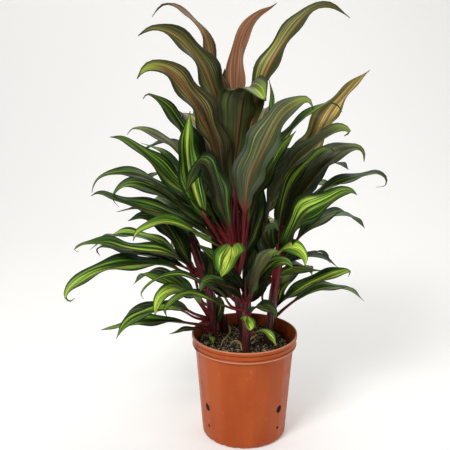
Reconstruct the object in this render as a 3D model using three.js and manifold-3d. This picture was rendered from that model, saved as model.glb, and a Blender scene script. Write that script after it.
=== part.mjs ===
// Potted kiwi ti plant, a many-stemmed Cordyline fruticosa with striped leaves in a plastic nursery pot.
// Millimetres, +Z up. The origin is on the standing surface, on the pot's axis, and the front is -Y.
import * as THREE from 'three';
import { mergeVertices } from 'three/addons/utils/BufferGeometryUtils.js';
import Module from 'manifold-3d';

const wasm = await Module();
wasm.setup();

// Pot: a moulded tub with a banded rim, a bead below it and eighteen shallow flutes round the body
const POT_HEIGHT = 258;
const RIM_RADIUS = 127;
const LIP_THICKNESS = 3.4;
const LIP_BAND = 11;
const SECOND_BAND = 12;
const BEAD = 8;
const BAND_STEP = 1.6;
const BODY_TOP_RADIUS = 119;
const BASE_RADIUS = 102;
const BASE_CORNER = 9;
const WALL = 2.6;
const FLOOR = 3.4;
const FLUTES = 18;
const FLUTE_DEPTH = 1;
const BODY_TOP = POT_HEIGHT - LIP_BAND - SECOND_BAND - BEAD;

// Drain holes: ovals low in the wall, each with a small one below, and a ring of round ones in the floor
const SIDE_HOLE_AZIMUTHS = [49, 177, -55];
const SIDE_HOLE_HEIGHT = 90;
const SIDE_HOLE_SIZE = [18, 20];
const LOW_HOLE_HEIGHT = 40;
const LOW_HOLE_SIZE = [8, 8];
const FLOOR_HOLES = 6;
const FLOOR_HOLE_RADIUS = 6;
const FLOOR_HOLE_RING = 62;

// Soil: fills the pot to below its rim, a gap off its wall, with an uneven top that slumps on the right
const SOIL_TOP = 228;
const SOIL_BUMP = 2.4;
const SOIL_SLUMP = 14;
const SLUMP_FROM = 55;
const SLUMP_TO = 110;
const SOIL_RINGS = 3;
const GAP = 0.3;

// Canes: radius in the soil and at the crown, and the height where their feet end in the soil
const CANE_RADIUS = 10;
const CROWN_RADIUS = 8;
const CANE_SIDES = 8;
const CANE_FOOT = 150;

// Leaves: a flattened stalk that opens into a blade folded along its rib, with waved margins
const STALK_SHARE = 0.24;
const BLADE_OPEN = 0.14;
const STALK_HALF_WIDTH = 5;
const STALK_FLARE = 3;
const FLARE_END = 0.8;
const STALK_HALF_DEPTH = 2.8;
const STALK_MARGIN_HALF_DEPTH = 1.6;
const RIB_HALF_DEPTH = 1.2;
const MARGIN_HALF_DEPTH = 0.5;
const OUTLINE_SHARPNESS = 2.05;
const FULLEST = 0.44;
const TIP_SHARE = 0.3;
const TIP_WIDTH_SHARE = 0.15;
const FOLD_DEGREES = 20;
const WAVE_LENGTH = 150;
const LEAST_WAVES = 1.5;
const WAVE_HEIGHT_SHARE = 0.1;
const WAVE_STEP_PER_LEAF = 2.4;
const WAVE_STEP_PER_SIDE = 1.9;
const TURN_START = 0.06;
const TURN_SHARE = 0.3;
const TWIST_START = 0.6;
const RIB_STEPS = 100;
const STALK_STATION = 0.66;
const BLADE_STATIONS = [0.08, 0.25, 0.42, 0.59, 0.76, 0.9, 1];
const SHORT_BLADE_STATIONS = [0.12, 0.36, 0.62, 0.86, 1];
const SHORT_LEAF = 301;
const ATTITUDE_STATION = 60;

// Reference view: where the eye stands and how it looks, for ribs that are drawn in picture units
const EYE = new THREE.Vector3(-47, -1700, 967);
const EYE_PITCH = THREE.MathUtils.degToRad(14.6);
const PICTURE_FOCAL = 755;
const PICTURE_MIDDLE = 225;

// The centre line of each cane, from its foot in the soil to its crown
const CANES = {
  cane_main: [[-1, 12, CANE_FOOT], [-3, 8, 242], [-21, -8, 372], [-33, -16, 472], [-32, -18, 524]],
  cane_front: [[3, -54, CANE_FOOT], [3, -54, 237], [2, -52, 347]],
  cane_left: [[-73, 14, CANE_FOOT], [-75, 14, 237], [-81, 12, 312]],
  cane_left_tall: [[-47, 62, CANE_FOOT], [-51, 62, 237], [-87, 60, 342], [-107, 58, 402]],
  cane_right: [[67, 62, CANE_FOOT], [67, 62, 237], [69, 60, 297]],
  cane_right_tall: [[55, 0, CANE_FOOT], [57, 2, 237], [75, 24, 372], [84, 30, 437]],
  cane_back: [[11, 92, CANE_FOOT], [11, 92, 237], [5, 100, 392], [1, 98, 527]],
};

// Leaves drawn from the reference view. root is the height on the cane where the stalk leaves it, rib the
// picture points that the rib passes, depth its tip's Y, and facing how far the upper face is turned from
// the eye, in degrees. twist turns the outer part further, fullest says how far out the blade is widest, and
// stalk is the share of the length that is stalk. bend gives, for a leaf whose end folds over, the share of
// the drawn run where the fold is and its Y there.
const DRAWN_LEAVES = {
  cane_main: [
    { name: 'arching_brown', root: 440, depth: 60, width: 62, facing: 66, stalk: 0.26,
      rib: [[236, 225], [228, 165], [224, 100], [213, 68], [206, 42], [201, 29], [188, 15], [175, 6],
        [166, 4], [158, 9], [152, 17]] },
    { name: 'broad_top_left', root: 410, depth: -60, width: 86, facing: 54, stalk: 0.34,
      rib: [[236, 240], [230, 195], [219, 105], [211, 82], [201, 62], [189, 46], [176, 35], [163, 29],
        [152, 28], [145, 31], [138, 36]] },
    { name: 'lime_tipped', root: 372, depth: -150, width: 88, facing: 54, stalk: 0.38,
      rib: [[236, 262], [230, 215], [218, 153], [210, 128], [199, 106], [188, 91], [178, 79], [168, 70],
        [158, 66], [150, 66], [143, 70], [137, 79]] },
    { name: 'dark_left', root: 395, depth: -40, width: 78, facing: 58, stalk: 0.32,
      rib: [[235, 250], [228, 215], [200, 160], [187, 136], [176, 119], [165, 106], [152, 96],
        [147, 94], [143, 99]] },
    { name: 'centre_broad', root: 366, depth: -150, width: 108, facing: 165, twist: 45,
      fullest: 0.5, stalk: 0.36, bend: [0.86, -35],
      rib: [[239, 262], [238, 225], [233, 172], [236, 140], [238, 119], [240, 101], [244, 89],
        [251, 84], [259, 90], [266, 101]] },
    { name: 'tall_right', root: 410, depth: -20, width: 62, facing: 46, stalk: 0.34,
      rib: [[241, 240], [244, 195], [252, 120], [262, 80], [268, 66], [277, 50], [288, 34], [298, 21],
        [308, 11], [320, 6], [332, 6], [341, 11], [350, 18]] },
    { name: 'right_centre', root: 372, depth: -200, width: 90, facing: 34, fullest: 0.38, stalk: 0.38,
      rib: [[241, 262], [244, 222], [247, 182], [256, 159], [266, 139], [275, 122], [286, 109],
        [297, 102], [306, 99], [311, 102], [313, 110]] },
    { name: 'narrow_right', root: 400, depth: 60, width: 50, facing: 64, stalk: 0.3,
      rib: [[242, 248], [248, 215], [262, 170], [276, 147], [290, 130], [305, 116], [318, 107],
        [328, 103], [337, 105], [342, 112]] },
    { name: 'streaked_centre', root: 376, depth: -60, width: 62, facing: 53, stalk: 0.4,
      rib: [[243, 258], [248, 226], [255, 195], [266, 176], [277, 157], [287, 142], [296, 131]] },
    { name: 'droop_front', root: 469, depth: -195, width: 76, facing: 30, fullest: 0.36, stalk: 0.14,
      rib: [[232, 244], [230, 254], [226, 266], [221, 278]] },
    { name: 'lime_left', root: 465, depth: -190, width: 50, facing: 66, stalk: 0.13,
      rib: [[218, 245], [205, 238], [190, 228], [175, 223], [160, 222], [147, 226], [137, 232],
        [133, 241]] },
    { name: 'left_curled', root: 472, depth: -30, width: 64, facing: 60, stalk: 0.13,
      rib: [[210, 228], [190, 213], [175, 202], [160, 192], [145, 186], [132, 184], [121, 187],
        [114, 194], [113, 200], [119, 207]] },
    { name: 'left_low', root: 467, depth: -60, width: 68, facing: 58, stalk: 0.13,
      rib: [[212, 236], [190, 223], [165, 213], [145, 208], [128, 203], [113, 197], [103, 193],
        [97, 193], [91, 196]] },
    { name: 'long_left', root: 477, depth: -110, width: 60, facing: 74, stalk: 0.13,
      rib: [[212, 222], [195, 208], [175, 196], [160, 186], [148, 178], [135, 174], [118, 173],
        [105, 175], [97, 180], [93, 187], [92, 193]] },
    { name: 'vivid_left', root: 482, depth: -130, width: 76, facing: 57, stalk: 0.13,
      rib: [[208, 210], [190, 194], [175, 182], [163, 171], [152, 161], [141, 151], [130, 143],
        [120, 138], [110, 137]] },
    { name: 'grey_left', root: 485, depth: 40, width: 60, facing: 60, stalk: 0.13,
      rib: [[212, 200], [195, 175], [183, 157], [172, 145], [160, 137], [150, 132], [140, 129],
        [132, 129], [127, 135]] },
    { name: 'small_left', root: 474, depth: 120, width: 52, facing: 63, stalk: 0.13,
      rib: [[210, 215], [190, 182], [175, 164], [162, 152], [150, 146], [141, 143]] },
    { name: 'lime_upright', root: 420, depth: -150, width: 62, facing: 22, stalk: 0.36,
      rib: [[230, 258], [219, 238], [204, 215], [193, 188], [187, 155], [187, 132], [190, 111]] },
    { name: 'shaded_bend', root: 384, depth: -190, width: 72, facing: 45, stalk: 0.34,
      rib: [[234, 262], [228, 225], [216, 185], [208, 166], [201, 162], [194, 170], [188, 185],
        [184, 198]] },
    { name: 'inner_left', root: 405, depth: 60, width: 70, facing: 50, stalk: 0.3,
      rib: [[234, 245], [225, 212], [210, 180], [200, 160], [188, 140], [178, 128]] },
    { name: 'fill_low_left', root: 335, depth: 45, width: 84, facing: 28, stalk: 0.16,
      rib: [[234, 300], [226, 290], [219, 277], [216, 260]] },
    { name: 'fill_low_right', root: 335, depth: 40, width: 76, facing: 28, stalk: 0.16,
      rib: [[249, 302], [254, 288], [256, 268], [254, 247]] },
    { name: 'fill_mid_right', root: 420, depth: 80, width: 76, facing: 30, stalk: 0.16,
      rib: [[246, 245], [252, 225], [257, 202], [263, 180]] },
    { name: 'fill_mid_left', root: 415, depth: 20, width: 80, facing: 30, stalk: 0.16,
      rib: [[229, 245], [219, 225], [212, 205], [209, 180]] },
  ],
  cane_front: [
    { name: 'lime_front', root: 330, depth: -140, width: 42, facing: 35,
      rib: [[247, 314], [248, 322], [250, 331]] },
    { name: 'lime_right_low', root: 274, depth: -90, width: 30, facing: 55,
      rib: [[255, 332], [263, 331], [271, 337], [277, 347]] },
    { name: 'thin_left', root: 332, depth: -150, width: 34, facing: 74, stalk: 0.16,
      rib: [[232, 306], [222, 293], [210, 286], [198, 280], [185, 275], [172, 275], [160, 278],
        [150, 283], [143, 290], [141, 295], [144, 299]] },
    { name: 'short_left', root: 334, depth: -210, width: 38, facing: 70, stalk: 0.16,
      rib: [[232, 308], [215, 301], [203, 296], [190, 294], [178, 297], [170, 303], [165, 310],
        [167, 317]] },
    { name: 'front_fan_left', root: 341, depth: -120, width: 52, facing: 50, stalk: 0.16,
      rib: [[238, 290], [224, 284], [212, 280], [204, 283], [200, 293]] },
    { name: 'front_rise_left', root: 343, depth: -70, width: 56, facing: 50, stalk: 0.16,
      rib: [[242, 288], [230, 274], [215, 260], [204, 250], [196, 243]] },
    { name: 'front_rise_centre', root: 343, depth: -70, width: 46, facing: 50, stalk: 0.16,
      rib: [[240, 298], [232, 284], [224, 270], [219, 256]] },
    { name: 'front_rise_right', root: 342, depth: -110, width: 54, facing: 50, stalk: 0.16,
      rib: [[254, 288], [264, 271], [276, 262], [287, 262], [294, 269]] },
    { name: 'front_fan_right', root: 341, depth: -130, width: 58, facing: 50, stalk: 0.16,
      rib: [[251, 288], [257, 272], [264, 260], [272, 252], [279, 250]] },
    { name: 'front_low_right', root: 312, depth: -130, width: 38, facing: 50, stalk: 0.16,
      rib: [[256, 306], [266, 307], [274, 312], [276, 320]] },
  ],
  cane_left: [
    { name: 'low_long', root: 267, depth: -60, width: 56, facing: 63,
      rib: [[197, 324], [182, 322], [165, 320], [150, 321], [130, 324], [115, 327], [101, 330]] },
    { name: 'low_droop', root: 280, depth: -130, width: 56, facing: 63,
      rib: [[195, 317], [180, 309], [165, 308], [148, 312], [135, 318], [125, 326], [116, 339]] },
    { name: 'low_back', root: 285, depth: 60, width: 54, facing: 60,
      rib: [[195, 314], [180, 307], [160, 306], [143, 309], [130, 313], [123, 320]] },
    { name: 'tiny_left', root: 262, depth: -60, width: 22, facing: 60,
      rib: [[198, 328], [188, 329], [178, 332], [169, 334]] },
    { name: 'tiny_front', root: 256, depth: -50, width: 18, facing: 50,
      rib: [[210, 335], [212, 339], [213, 344]] },
    { name: 'lime_hook', root: 291, depth: -190, width: 48, facing: 64,
      rib: [[200, 302], [190, 293], [178, 290], [168, 292], [160, 298], [156, 308], [155, 316]] },
    { name: 'inner_upright', root: 262, depth: 30, width: 42, facing: 30, stalk: 0.14,
      rib: [[216, 320], [219, 308], [219, 294]] },
  ],
  cane_left_tall: [
    { name: 'hanging_dark', root: 392, depth: -60, width: 56, facing: 30, stalk: 0.15,
      rib: [[205, 262], [209, 254], [211, 264], [209, 290]] },
    { name: 'striped_left', root: 357, depth: -90, width: 54, facing: 58, stalk: 0.15,
      rib: [[192, 295], [178, 288], [165, 281], [152, 276], [141, 274]] },
    { name: 'great_left', root: 375, depth: -60, width: 70, facing: 58, stalk: 0.15,
      rib: [[185, 272], [165, 264], [140, 263], [115, 266], [95, 271], [80, 280], [69, 290], [66, 298],
        [70, 301], [75, 298]] },
    { name: 'far_left', root: 340, depth: -10, width: 60, facing: 62, stalk: 0.22,
      rib: [[194, 276], [185, 262], [165, 252], [145, 250], [125, 247], [108, 243], [92, 243],
        [80, 245], [74, 250], [79, 252]] },
    { name: 'second_left', root: 379, depth: 80, width: 56, facing: 66, stalk: 0.15,
      rib: [[182, 266], [160, 257], [140, 253], [125, 250], [110, 247], [100, 247], [97, 250],
        [100, 256]] },
    { name: 'lime_inner', root: 385, depth: 140, width: 50, facing: 60, stalk: 0.15,
      rib: [[185, 262], [175, 256], [162, 251], [148, 249]] },
    { name: 'red_rib', root: 296, depth: 30, width: 72, facing: 50, stalk: 0.36,
      rib: [[203, 302], [195, 278], [186, 256], [177, 241], [168, 227], [154, 218], [140, 216],
        [128, 221]] },
    { name: 'left_shade', root: 320, depth: 120, width: 62, facing: 55, stalk: 0.34,
      rib: [[203, 292], [199, 265], [190, 240], [182, 222], [170, 208], [158, 202]] },
  ],
  cane_right: [
    { name: 'low_right', root: 276, depth: 0, width: 64, facing: 57, stalk: 0.18,
      rib: [[276, 306], [284, 299], [295, 291], [307, 284], [320, 279], [335, 274], [346, 271],
        [350, 272], [348, 277]] },
    { name: 'long_right', root: 291, depth: 60, width: 48, facing: 64, stalk: 0.18,
      rib: [[262, 300], [266, 286], [278, 277], [290, 272], [302, 270], [325, 271]] },
    { name: 'stub_right', root: 286, depth: 20, width: 34, facing: 50, stalk: 0.18,
      rib: [[279, 300], [283, 289], [291, 281]] },
  ],
  cane_right_tall: [
    { name: 'gold_back', root: 384, depth: 150, width: 84, facing: 48, stalk: 0.32,
      rib: [[277, 262], [281, 228], [303, 158], [315, 138], [325, 120], [335, 105], [347, 92],
        [358, 80], [370, 70]] },
    { name: 'grey_hook', root: 384, depth: -140, width: 64, facing: 62, stalk: 0.3,
      rib: [[269, 262], [265, 230], [274, 190], [287, 170], [300, 154], [315, 143], [328, 133],
        [337, 128], [345, 128], [350, 132], [344, 136]] },
    { name: 'dark_right', root: 356, depth: -30, width: 60, facing: 60, stalk: 0.34,
      rib: [[273, 288], [276, 250], [285, 195], [298, 172], [312, 158], [324, 149], [331, 149],
        [334, 151]] },
    { name: 'grey_right', root: 350, depth: 0, width: 84, facing: 52, stalk: 0.34,
      rib: [[274, 290], [279, 255], [290, 210], [300, 193], [309, 180], [319, 168], [329, 158],
        [339, 151], [350, 148], [358, 148], [363, 153], [364, 162]] },
    { name: 'curl_right', root: 360, depth: 20, width: 54, facing: 68, stalk: 0.28,
      rib: [[276, 282], [282, 254], [300, 215], [312, 200], [325, 189], [340, 182], [355, 177],
        [367, 174], [378, 173], [386, 179], [385, 186], [376, 187]] },
    { name: 'lime_right', root: 340, depth: -110, width: 86, facing: 53, stalk: 0.28,
      rib: [[275, 292], [280, 266], [287, 242], [294, 226], [304, 213], [317, 206], [330, 199],
        [343, 192], [352, 191], [357, 195]] },
    { name: 'lime_hang', root: 397, depth: -140, width: 42, facing: 50, stalk: 0.17,
      rib: [[278, 252], [290, 247], [299, 250], [305, 258], [305, 267]] },
    { name: 'narrow_low', root: 390, depth: 100, width: 36, facing: 70, stalk: 0.17,
      rib: [[268, 280], [276, 268], [288, 262], [300, 257], [310, 253], [318, 251], [325, 254],
        [330, 263]] },
    { name: 'lime_tip_centre', root: 410, depth: -130, width: 60, facing: 40, stalk: 0.17,
      rib: [[272, 250], [266, 236], [268, 226], [275, 224], [279, 232]] },
  ],
  cane_back: [
    { name: 'orange_back', root: 516, depth: 200, width: 60, facing: 140,
      rib: [[238, 150], [236, 100], [237, 75], [239, 50], [244, 34], [252, 21], [262, 12], [270, 8],
        [277, 3]] },
    { name: 'green_back', root: 502, depth: 180, width: 44, facing: 70,
      rib: [[258, 180], [270, 130], [273, 103], [271, 88], [268, 76]] },
    { name: 'brown_back', root: 506, depth: 260, width: 44, facing: 60,
      rib: [[224, 140], [220, 100], [222, 80], [226, 70], [231, 88]] },
    { name: 'fill_back_left', root: 330, depth: 75, width: 80, facing: 25, stalk: 0.16,
      rib: [[236, 275], [226, 250], [216, 225], [206, 205]] },
    { name: 'fill_back_right', root: 330, depth: 80, width: 80, facing: 25, stalk: 0.16,
      rib: [[250, 275], [258, 250], [262, 225], [262, 200]] },
  ],
};

// Leaves that the reference view hides, each by its azimuth (0 to the front, 90 to the right), the angle
// that it rises at, the angle that its tip falls at, and its length and width
const GROWN_STEPS = 10;
const BOW_POWER = 1.6;
const GROWN_LEAVES = {
  cane_main: [
    { name: 'rear_left_high', root: 506, azimuth: 212, rise: 80, fall: 25, length: 440, width: 84 },
  ],
  cane_front: [],
  cane_left: [
    { name: 'rear_low_left', root: 277, azimuth: 235, rise: 50, fall: 55, length: 300, width: 58 },
  ],
  cane_left_tall: [
    { name: 'rear_mid_left', root: 381, azimuth: 215, rise: 62, fall: 50, length: 380, width: 66 },
    { name: 'rear_reach_left', root: 369, azimuth: 245, rise: 40, fall: 50, length: 380, width: 64 },
    { name: 'fill_left', root: 388, azimuth: 255, rise: 70, fall: 30, length: 300, width: 60 },
  ],
  cane_right: [
    { name: 'rear_low_right', root: 271, azimuth: 150, rise: 50, fall: 60, length: 300, width: 58 },
    { name: 'side_low_right', root: 261, azimuth: 110, rise: 40, fall: 55, length: 300, width: 58 },
  ],
  cane_right_tall: [
    { name: 'rear_right_high', root: 431, azimuth: 140, rise: 72, fall: 40, length: 420, width: 78 },
    { name: 'side_right_mid', root: 413, azimuth: 125, rise: 50, fall: 55, length: 340, width: 68 },
  ],
  cane_back: [
    { name: 'top_one', root: 520, azimuth: 165, rise: 80, fall: 30, length: 430, width: 84 },
    { name: 'top_two', root: 512, azimuth: 205, rise: 76, fall: 35, length: 470, width: 88 },
    { name: 'top_three', root: 496, azimuth: 245, rise: 72, fall: 40, length: 400, width: 80 },
    { name: 'top_four', root: 488, azimuth: 118, rise: 70, fall: 45, length: 380, width: 80 },
    { name: 'mid_one', root: 470, azimuth: 175, rise: 60, fall: 45, length: 430, width: 82 },
    { name: 'mid_two', root: 454, azimuth: 232, rise: 54, fall: 45, length: 420, width: 76 },
    { name: 'mid_three', root: 442, azimuth: 130, rise: 52, fall: 50, length: 400, width: 76 },
    { name: 'mid_four', root: 422, azimuth: 195, rise: 42, fall: 60, length: 390, width: 70 },
    { name: 'low_one', root: 398, azimuth: 158, rise: 34, fall: 60, length: 370, width: 64 },
    { name: 'low_two', root: 382, azimuth: 222, rise: 30, fall: 60, length: 350, width: 62 },
    { name: 'low_side_right', root: 342, azimuth: 104, rise: 40, fall: 50, length: 280, width: 56 },
    { name: 'low_three', root: 346, azimuth: 185, rise: 28, fall: 65, length: 320, width: 56 },
  ],
};

// A curve through the points, sampled at even steps
function evenPoints(points, steps) {
  const curve = new THREE.CatmullRomCurve3(points, false, 'centripetal');
  curve.arcLengthDivisions = 4 * steps;
  return { points: curve.getSpacedPoints(steps), length: curve.getLength() };
}

// The point of the reference view's picture that lies at the given depth
function spot([across, down], depth) {
  const right = (across - PICTURE_MIDDLE) / PICTURE_FOCAL;
  const up = (PICTURE_MIDDLE - down) / PICTURE_FOCAL;
  const ray = new THREE.Vector3(
    right,
    Math.cos(EYE_PITCH) + up * Math.sin(EYE_PITCH),
    up * Math.cos(EYE_PITCH) - Math.sin(EYE_PITCH),
  );
  return ray.multiplyScalar((depth - EYE.y) / ray.y).add(EYE);
}

// Where a point shows in that picture
function pictured(point) {
  const off = point.clone().sub(EYE);
  const far = off.y * Math.cos(EYE_PITCH) - off.z * Math.sin(EYE_PITCH);
  const up = off.y * Math.sin(EYE_PITCH) + off.z * Math.cos(EYE_PITCH);
  return [PICTURE_MIDDLE + PICTURE_FOCAL * off.x / far, PICTURE_MIDDLE - PICTURE_FOCAL * up / far];
}

// The point of a cane's centre line at a height
function caneAt(line, height) {
  const top = Math.max(1, line.findIndex((point) => point[2] >= height));
  const low = new THREE.Vector3(...line[top - 1]);
  const high = new THREE.Vector3(...line[top]);
  return low.lerp(high, (height - low.z) / (high.z - low.z));
}

// Rib of a drawn leaf: its depth goes evenly from the cane's to the tip's
function drawnRib(leaf, line) {
  const start = caneAt(line, leaf.root);
  const flat = [pictured(start), ...leaf.rib];
  const run = [0];
  for (let i = 1; i < flat.length; i += 1) {
    run.push(run[i - 1] + Math.hypot(flat[i][0] - flat[i - 1][0], flat[i][1] - flat[i - 1][1]));
  }
  const [fold, foldDepth] = leaf.bend ?? [1, leaf.depth];
  const depthAt = (i) => {
    const share = run[i] / run[run.length - 1];
    return share <= fold
      ? THREE.MathUtils.lerp(start.y, foldDepth, share / fold)
      : THREE.MathUtils.lerp(foldDepth, leaf.depth, (share - fold) / (1 - fold));
  };
  return [start, ...leaf.rib.map((point, i) => spot(point, depthAt(i + 1)))];
}

// Rib of a grown leaf: it leaves at the rise angle and bows over to the fall angle at its tip
function grownRib(leaf, line) {
  const azimuth = THREE.MathUtils.degToRad(leaf.azimuth);
  const step = leaf.length / GROWN_STEPS;
  const point = caneAt(line, leaf.root);
  const rib = [point.clone()];
  for (let i = 0; i < GROWN_STEPS; i += 1) {
    const share = ((i + 0.5) / GROWN_STEPS) ** BOW_POWER;
    const angle = THREE.MathUtils.degToRad(leaf.rise - (leaf.rise + leaf.fall) * share);
    point.x += step * Math.sin(azimuth) * Math.cos(angle);
    point.y -= step * Math.cos(azimuth) * Math.cos(angle);
    point.z += step * Math.sin(angle);
    if (i % 2 === 1) {
      rib.push(point.clone());
    }
  }
  return rib;
}

// Along a rib: the forward direction, the level side direction and the face direction at each point
function ribFrames(points) {
  const heading = points[points.length - 1].clone().sub(points[0]).setZ(0).normalize();
  const level = new THREE.Vector3(-heading.y, heading.x, 0);
  return points.map((point, i) => {
    const after = points[Math.min(i + 1, points.length - 1)];
    const forward = after.clone().sub(points[Math.max(i - 1, 0)]).normalize();
    const side = level.clone().addScaledVector(forward, -level.dot(forward)).normalize();
    return { side, face: forward.clone().cross(side) };
  });
}

// The turn about the rib that leaves the upper face the given angle away from the eye
function turnFacing(point, { side, face }, facing) {
  const sight = point.clone().sub(EYE).normalize();
  const full = Math.PI - Math.atan2(side.dot(sight), face.dot(sight));
  const turns = [full + facing, full - facing].map((turn) => Math.atan2(Math.sin(turn), Math.cos(turn)));
  return Math.abs(turns[0]) < Math.abs(turns[1]) ? turns[0] : turns[1];
}

function halfWidth(share, width, fullest, stalk) {
  const out = Math.max(0, (share - stalk) / (1 - stalk));
  const rise = OUTLINE_SHARPNESS * fullest;
  const fall = OUTLINE_SHARPNESS * (1 - fullest);
  const most = fullest ** rise * (1 - fullest) ** fall;
  const blade = width / 2 * out ** rise * (1 - out) ** fall / most;
  const flare = STALK_FLARE * Math.max(0, 1 - share / (FLARE_END * stalk));
  const tip = THREE.MathUtils.clamp((1 - share) / TIP_SHARE, TIP_WIDTH_SHARE, 1);
  return Math.max(blade, (STALK_HALF_WIDTH + flare) * tip);
}

// Skins a run of rings with the same number of points, and closes both ends. Where leaning[k] is set, the
// quads after ring point k are split along their other diagonal.
function skin(rings, leaning = []) {
  const sides = rings[0].length;
  const index = [];
  for (let i = 0; i + 1 < rings.length; i += 1) {
    for (let k = 0; k < sides; k += 1) {
      const a = i * sides + k;
      const b = i * sides + (k + 1) % sides;
      if (leaning[k]) {
        index.push(a, b, a + sides, b, b + sides, a + sides);
      } else {
        index.push(a, b, b + sides, a, b + sides, a + sides);
      }
    }
  }
  const last = (rings.length - 1) * sides;
  for (let k = 2; k < sides; k += 1) {
    const next = (k + 1) % sides;
    index.push(1, next, k);
    index.push(last + 1, last + k, last + next);
  }
  const places = Float32Array.from(rings.flat().flatMap((point) => point.toArray()));
  return toManifold(places, Uint32Array.from(index));
}

function toManifold(vertProperties, triVerts) {
  return new wasm.Manifold(new wasm.Mesh({ numProp: 3, vertProperties, triVerts }));
}

// A closed geometry as a solid, with its doubled points joined and its empty triangles dropped
function toSolid(geometry) {
  const bare = geometry.clone();
  bare.deleteAttribute('normal');
  bare.deleteAttribute('uv');
  const joined = mergeVertices(bare, 1e-4);
  const index = [];
  for (let i = 0; i < joined.index.count; i += 3) {
    const [a, b, c] = [0, 1, 2].map((k) => joined.index.getX(i + k));
    if (a !== b && b !== c && c !== a) {
      index.push(a, b, c);
    }
  }
  return toManifold(joined.attributes.position.array, Uint32Array.from(index));
}

function toMesh(name, solid, material) {
  const { vertProperties, triVerts } = solid.getMesh();
  const geometry = new THREE.BufferGeometry();
  geometry.setAttribute('position', new THREE.BufferAttribute(vertProperties, 3));
  geometry.setIndex(new THREE.BufferAttribute(triVerts, 1));
  geometry.computeVertexNormals();
  const mesh = new THREE.Mesh(geometry, material);
  mesh.name = name;
  return mesh;
}

// Eases a value from one to another over the share of the leaf where the stalk opens into the blade
function opening(share, stalk, atStalk, atBlade) {
  const start = FLARE_END * stalk;
  const open = THREE.MathUtils.clamp((share - start) / (stalk + BLADE_OPEN - start), 0, 1);
  return THREE.MathUtils.lerp(atStalk, atBlade, open);
}

// One leaf: rings of left margin, rib and right margin, above and below, split alike on both faces
function leafSolid(leaf, ribPoints, place) {
  const { points, length } = evenPoints(ribPoints, RIB_STEPS);
  const frames = ribFrames(points);
  const facing = THREE.MathUtils.degToRad(leaf.facing ?? 0);
  const level = leaf.facing === undefined;
  const turn = level ? 0 : turnFacing(points[ATTITUDE_STATION], frames[ATTITUDE_STATION], facing);
  const twist = THREE.MathUtils.degToRad(leaf.twist ?? 0);
  const fold = THREE.MathUtils.degToRad(FOLD_DEGREES);
  const waves = Math.max(LEAST_WAVES, length / WAVE_LENGTH);
  const stalk = leaf.stalk ?? STALK_SHARE;
  const blade = length < SHORT_LEAF ? SHORT_BLADE_STATIONS : BLADE_STATIONS;
  const shares = [0, STALK_STATION * stalk, ...blade.map((out) => stalk + (1 - stalk) * out)];
  const rings = shares.map((share) => {
    const i = Math.round(share * RIB_STEPS);
    const { side, face } = frames[i];
    const angle = turn * THREE.MathUtils.clamp((share - TURN_START) / TURN_SHARE, 0, 1)
      + twist * THREE.MathUtils.clamp((share - TWIST_START) / (1 - TWIST_START), 0, 1);
    const left = side.clone().multiplyScalar(Math.cos(angle)).addScaledVector(face, Math.sin(angle));
    const up = face.clone().multiplyScalar(Math.cos(angle)).addScaledVector(side, -Math.sin(angle));
    const half = halfWidth(share, leaf.width, leaf.fullest ?? FULLEST, stalk);
    const out = Math.max(0, (share - stalk) / (1 - stalk));
    const swell = WAVE_HEIGHT_SHARE * leaf.width * Math.sin(Math.PI * out);
    const wave = (k) => swell * Math.sin(2 * Math.PI * waves * out + WAVE_STEP_PER_LEAF * place
      + WAVE_STEP_PER_SIDE * k);
    const rib = points[i].clone().addScaledVector(up, -half * Math.sin(fold) / 2);
    const margin = (sign, k) => rib.clone().addScaledVector(left, sign * half * Math.cos(fold))
      .addScaledVector(up, half * Math.sin(fold) + wave(k));
    const ribDepth = opening(share, stalk, STALK_HALF_DEPTH, RIB_HALF_DEPTH);
    const marginDepth = opening(share, stalk, STALK_MARGIN_HALF_DEPTH, MARGIN_HALF_DEPTH);
    const section = [[margin(1, 0), marginDepth], [rib, ribDepth], [margin(-1, 1), marginDepth]];
    const above = section.map(([point, depth]) => point.clone().addScaledVector(up, depth));
    const below = section.map(([point, depth]) => point.clone().addScaledVector(up, -depth));
    return [...above, ...below.reverse()];
  });
  return skin(rings, [true, false, false, true, false, false]);
}

// A cane: level rings that taper from the soil to the crown. swell widens it and sinks its foot, for a hole.
function caneSolid(line, top, swell = 0) {
  const levels = line.filter((point) => point[2] < top).map((point) => point[2]);
  const crown = line[line.length - 1][2];
  const rings = [...levels, top].map((height) => {
    const centre = caneAt(line, height);
    const share = (height - CANE_FOOT) / (crown - CANE_FOOT);
    const radius = THREE.MathUtils.lerp(CANE_RADIUS, CROWN_RADIUS, share) + swell;
    const drop = height === CANE_FOOT && swell > 0 ? GAP : 0;
    return Array.from({ length: CANE_SIDES }, (_, k) => {
      const angle = 2 * Math.PI * k / CANE_SIDES;
      return new THREE.Vector3(
        centre.x + radius * Math.cos(angle),
        centre.y + radius * Math.sin(angle),
        height - drop,
      );
    });
  });
  return skin(rings);
}

// A leafy stem: the cane with every leaf grown into it, kept as its one outer body
function leafyStem(name) {
  const line = CANES[name];
  const drawn = DRAWN_LEAVES[name].map((leaf) => [leaf, drawnRib(leaf, line)]);
  const grown = GROWN_LEAVES[name].map((leaf) => [leaf, grownRib(leaf, line)]);
  const leaves = [...drawn, ...grown].map(([leaf, rib], place) => leafSolid(leaf, rib, place));
  const bodies = wasm.Manifold.union([caneSolid(line, line[line.length - 1][2]), ...leaves]).decompose();
  return bodies.reduce((most, body) => (body.volume() > most.volume() ? body : most));
}

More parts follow.
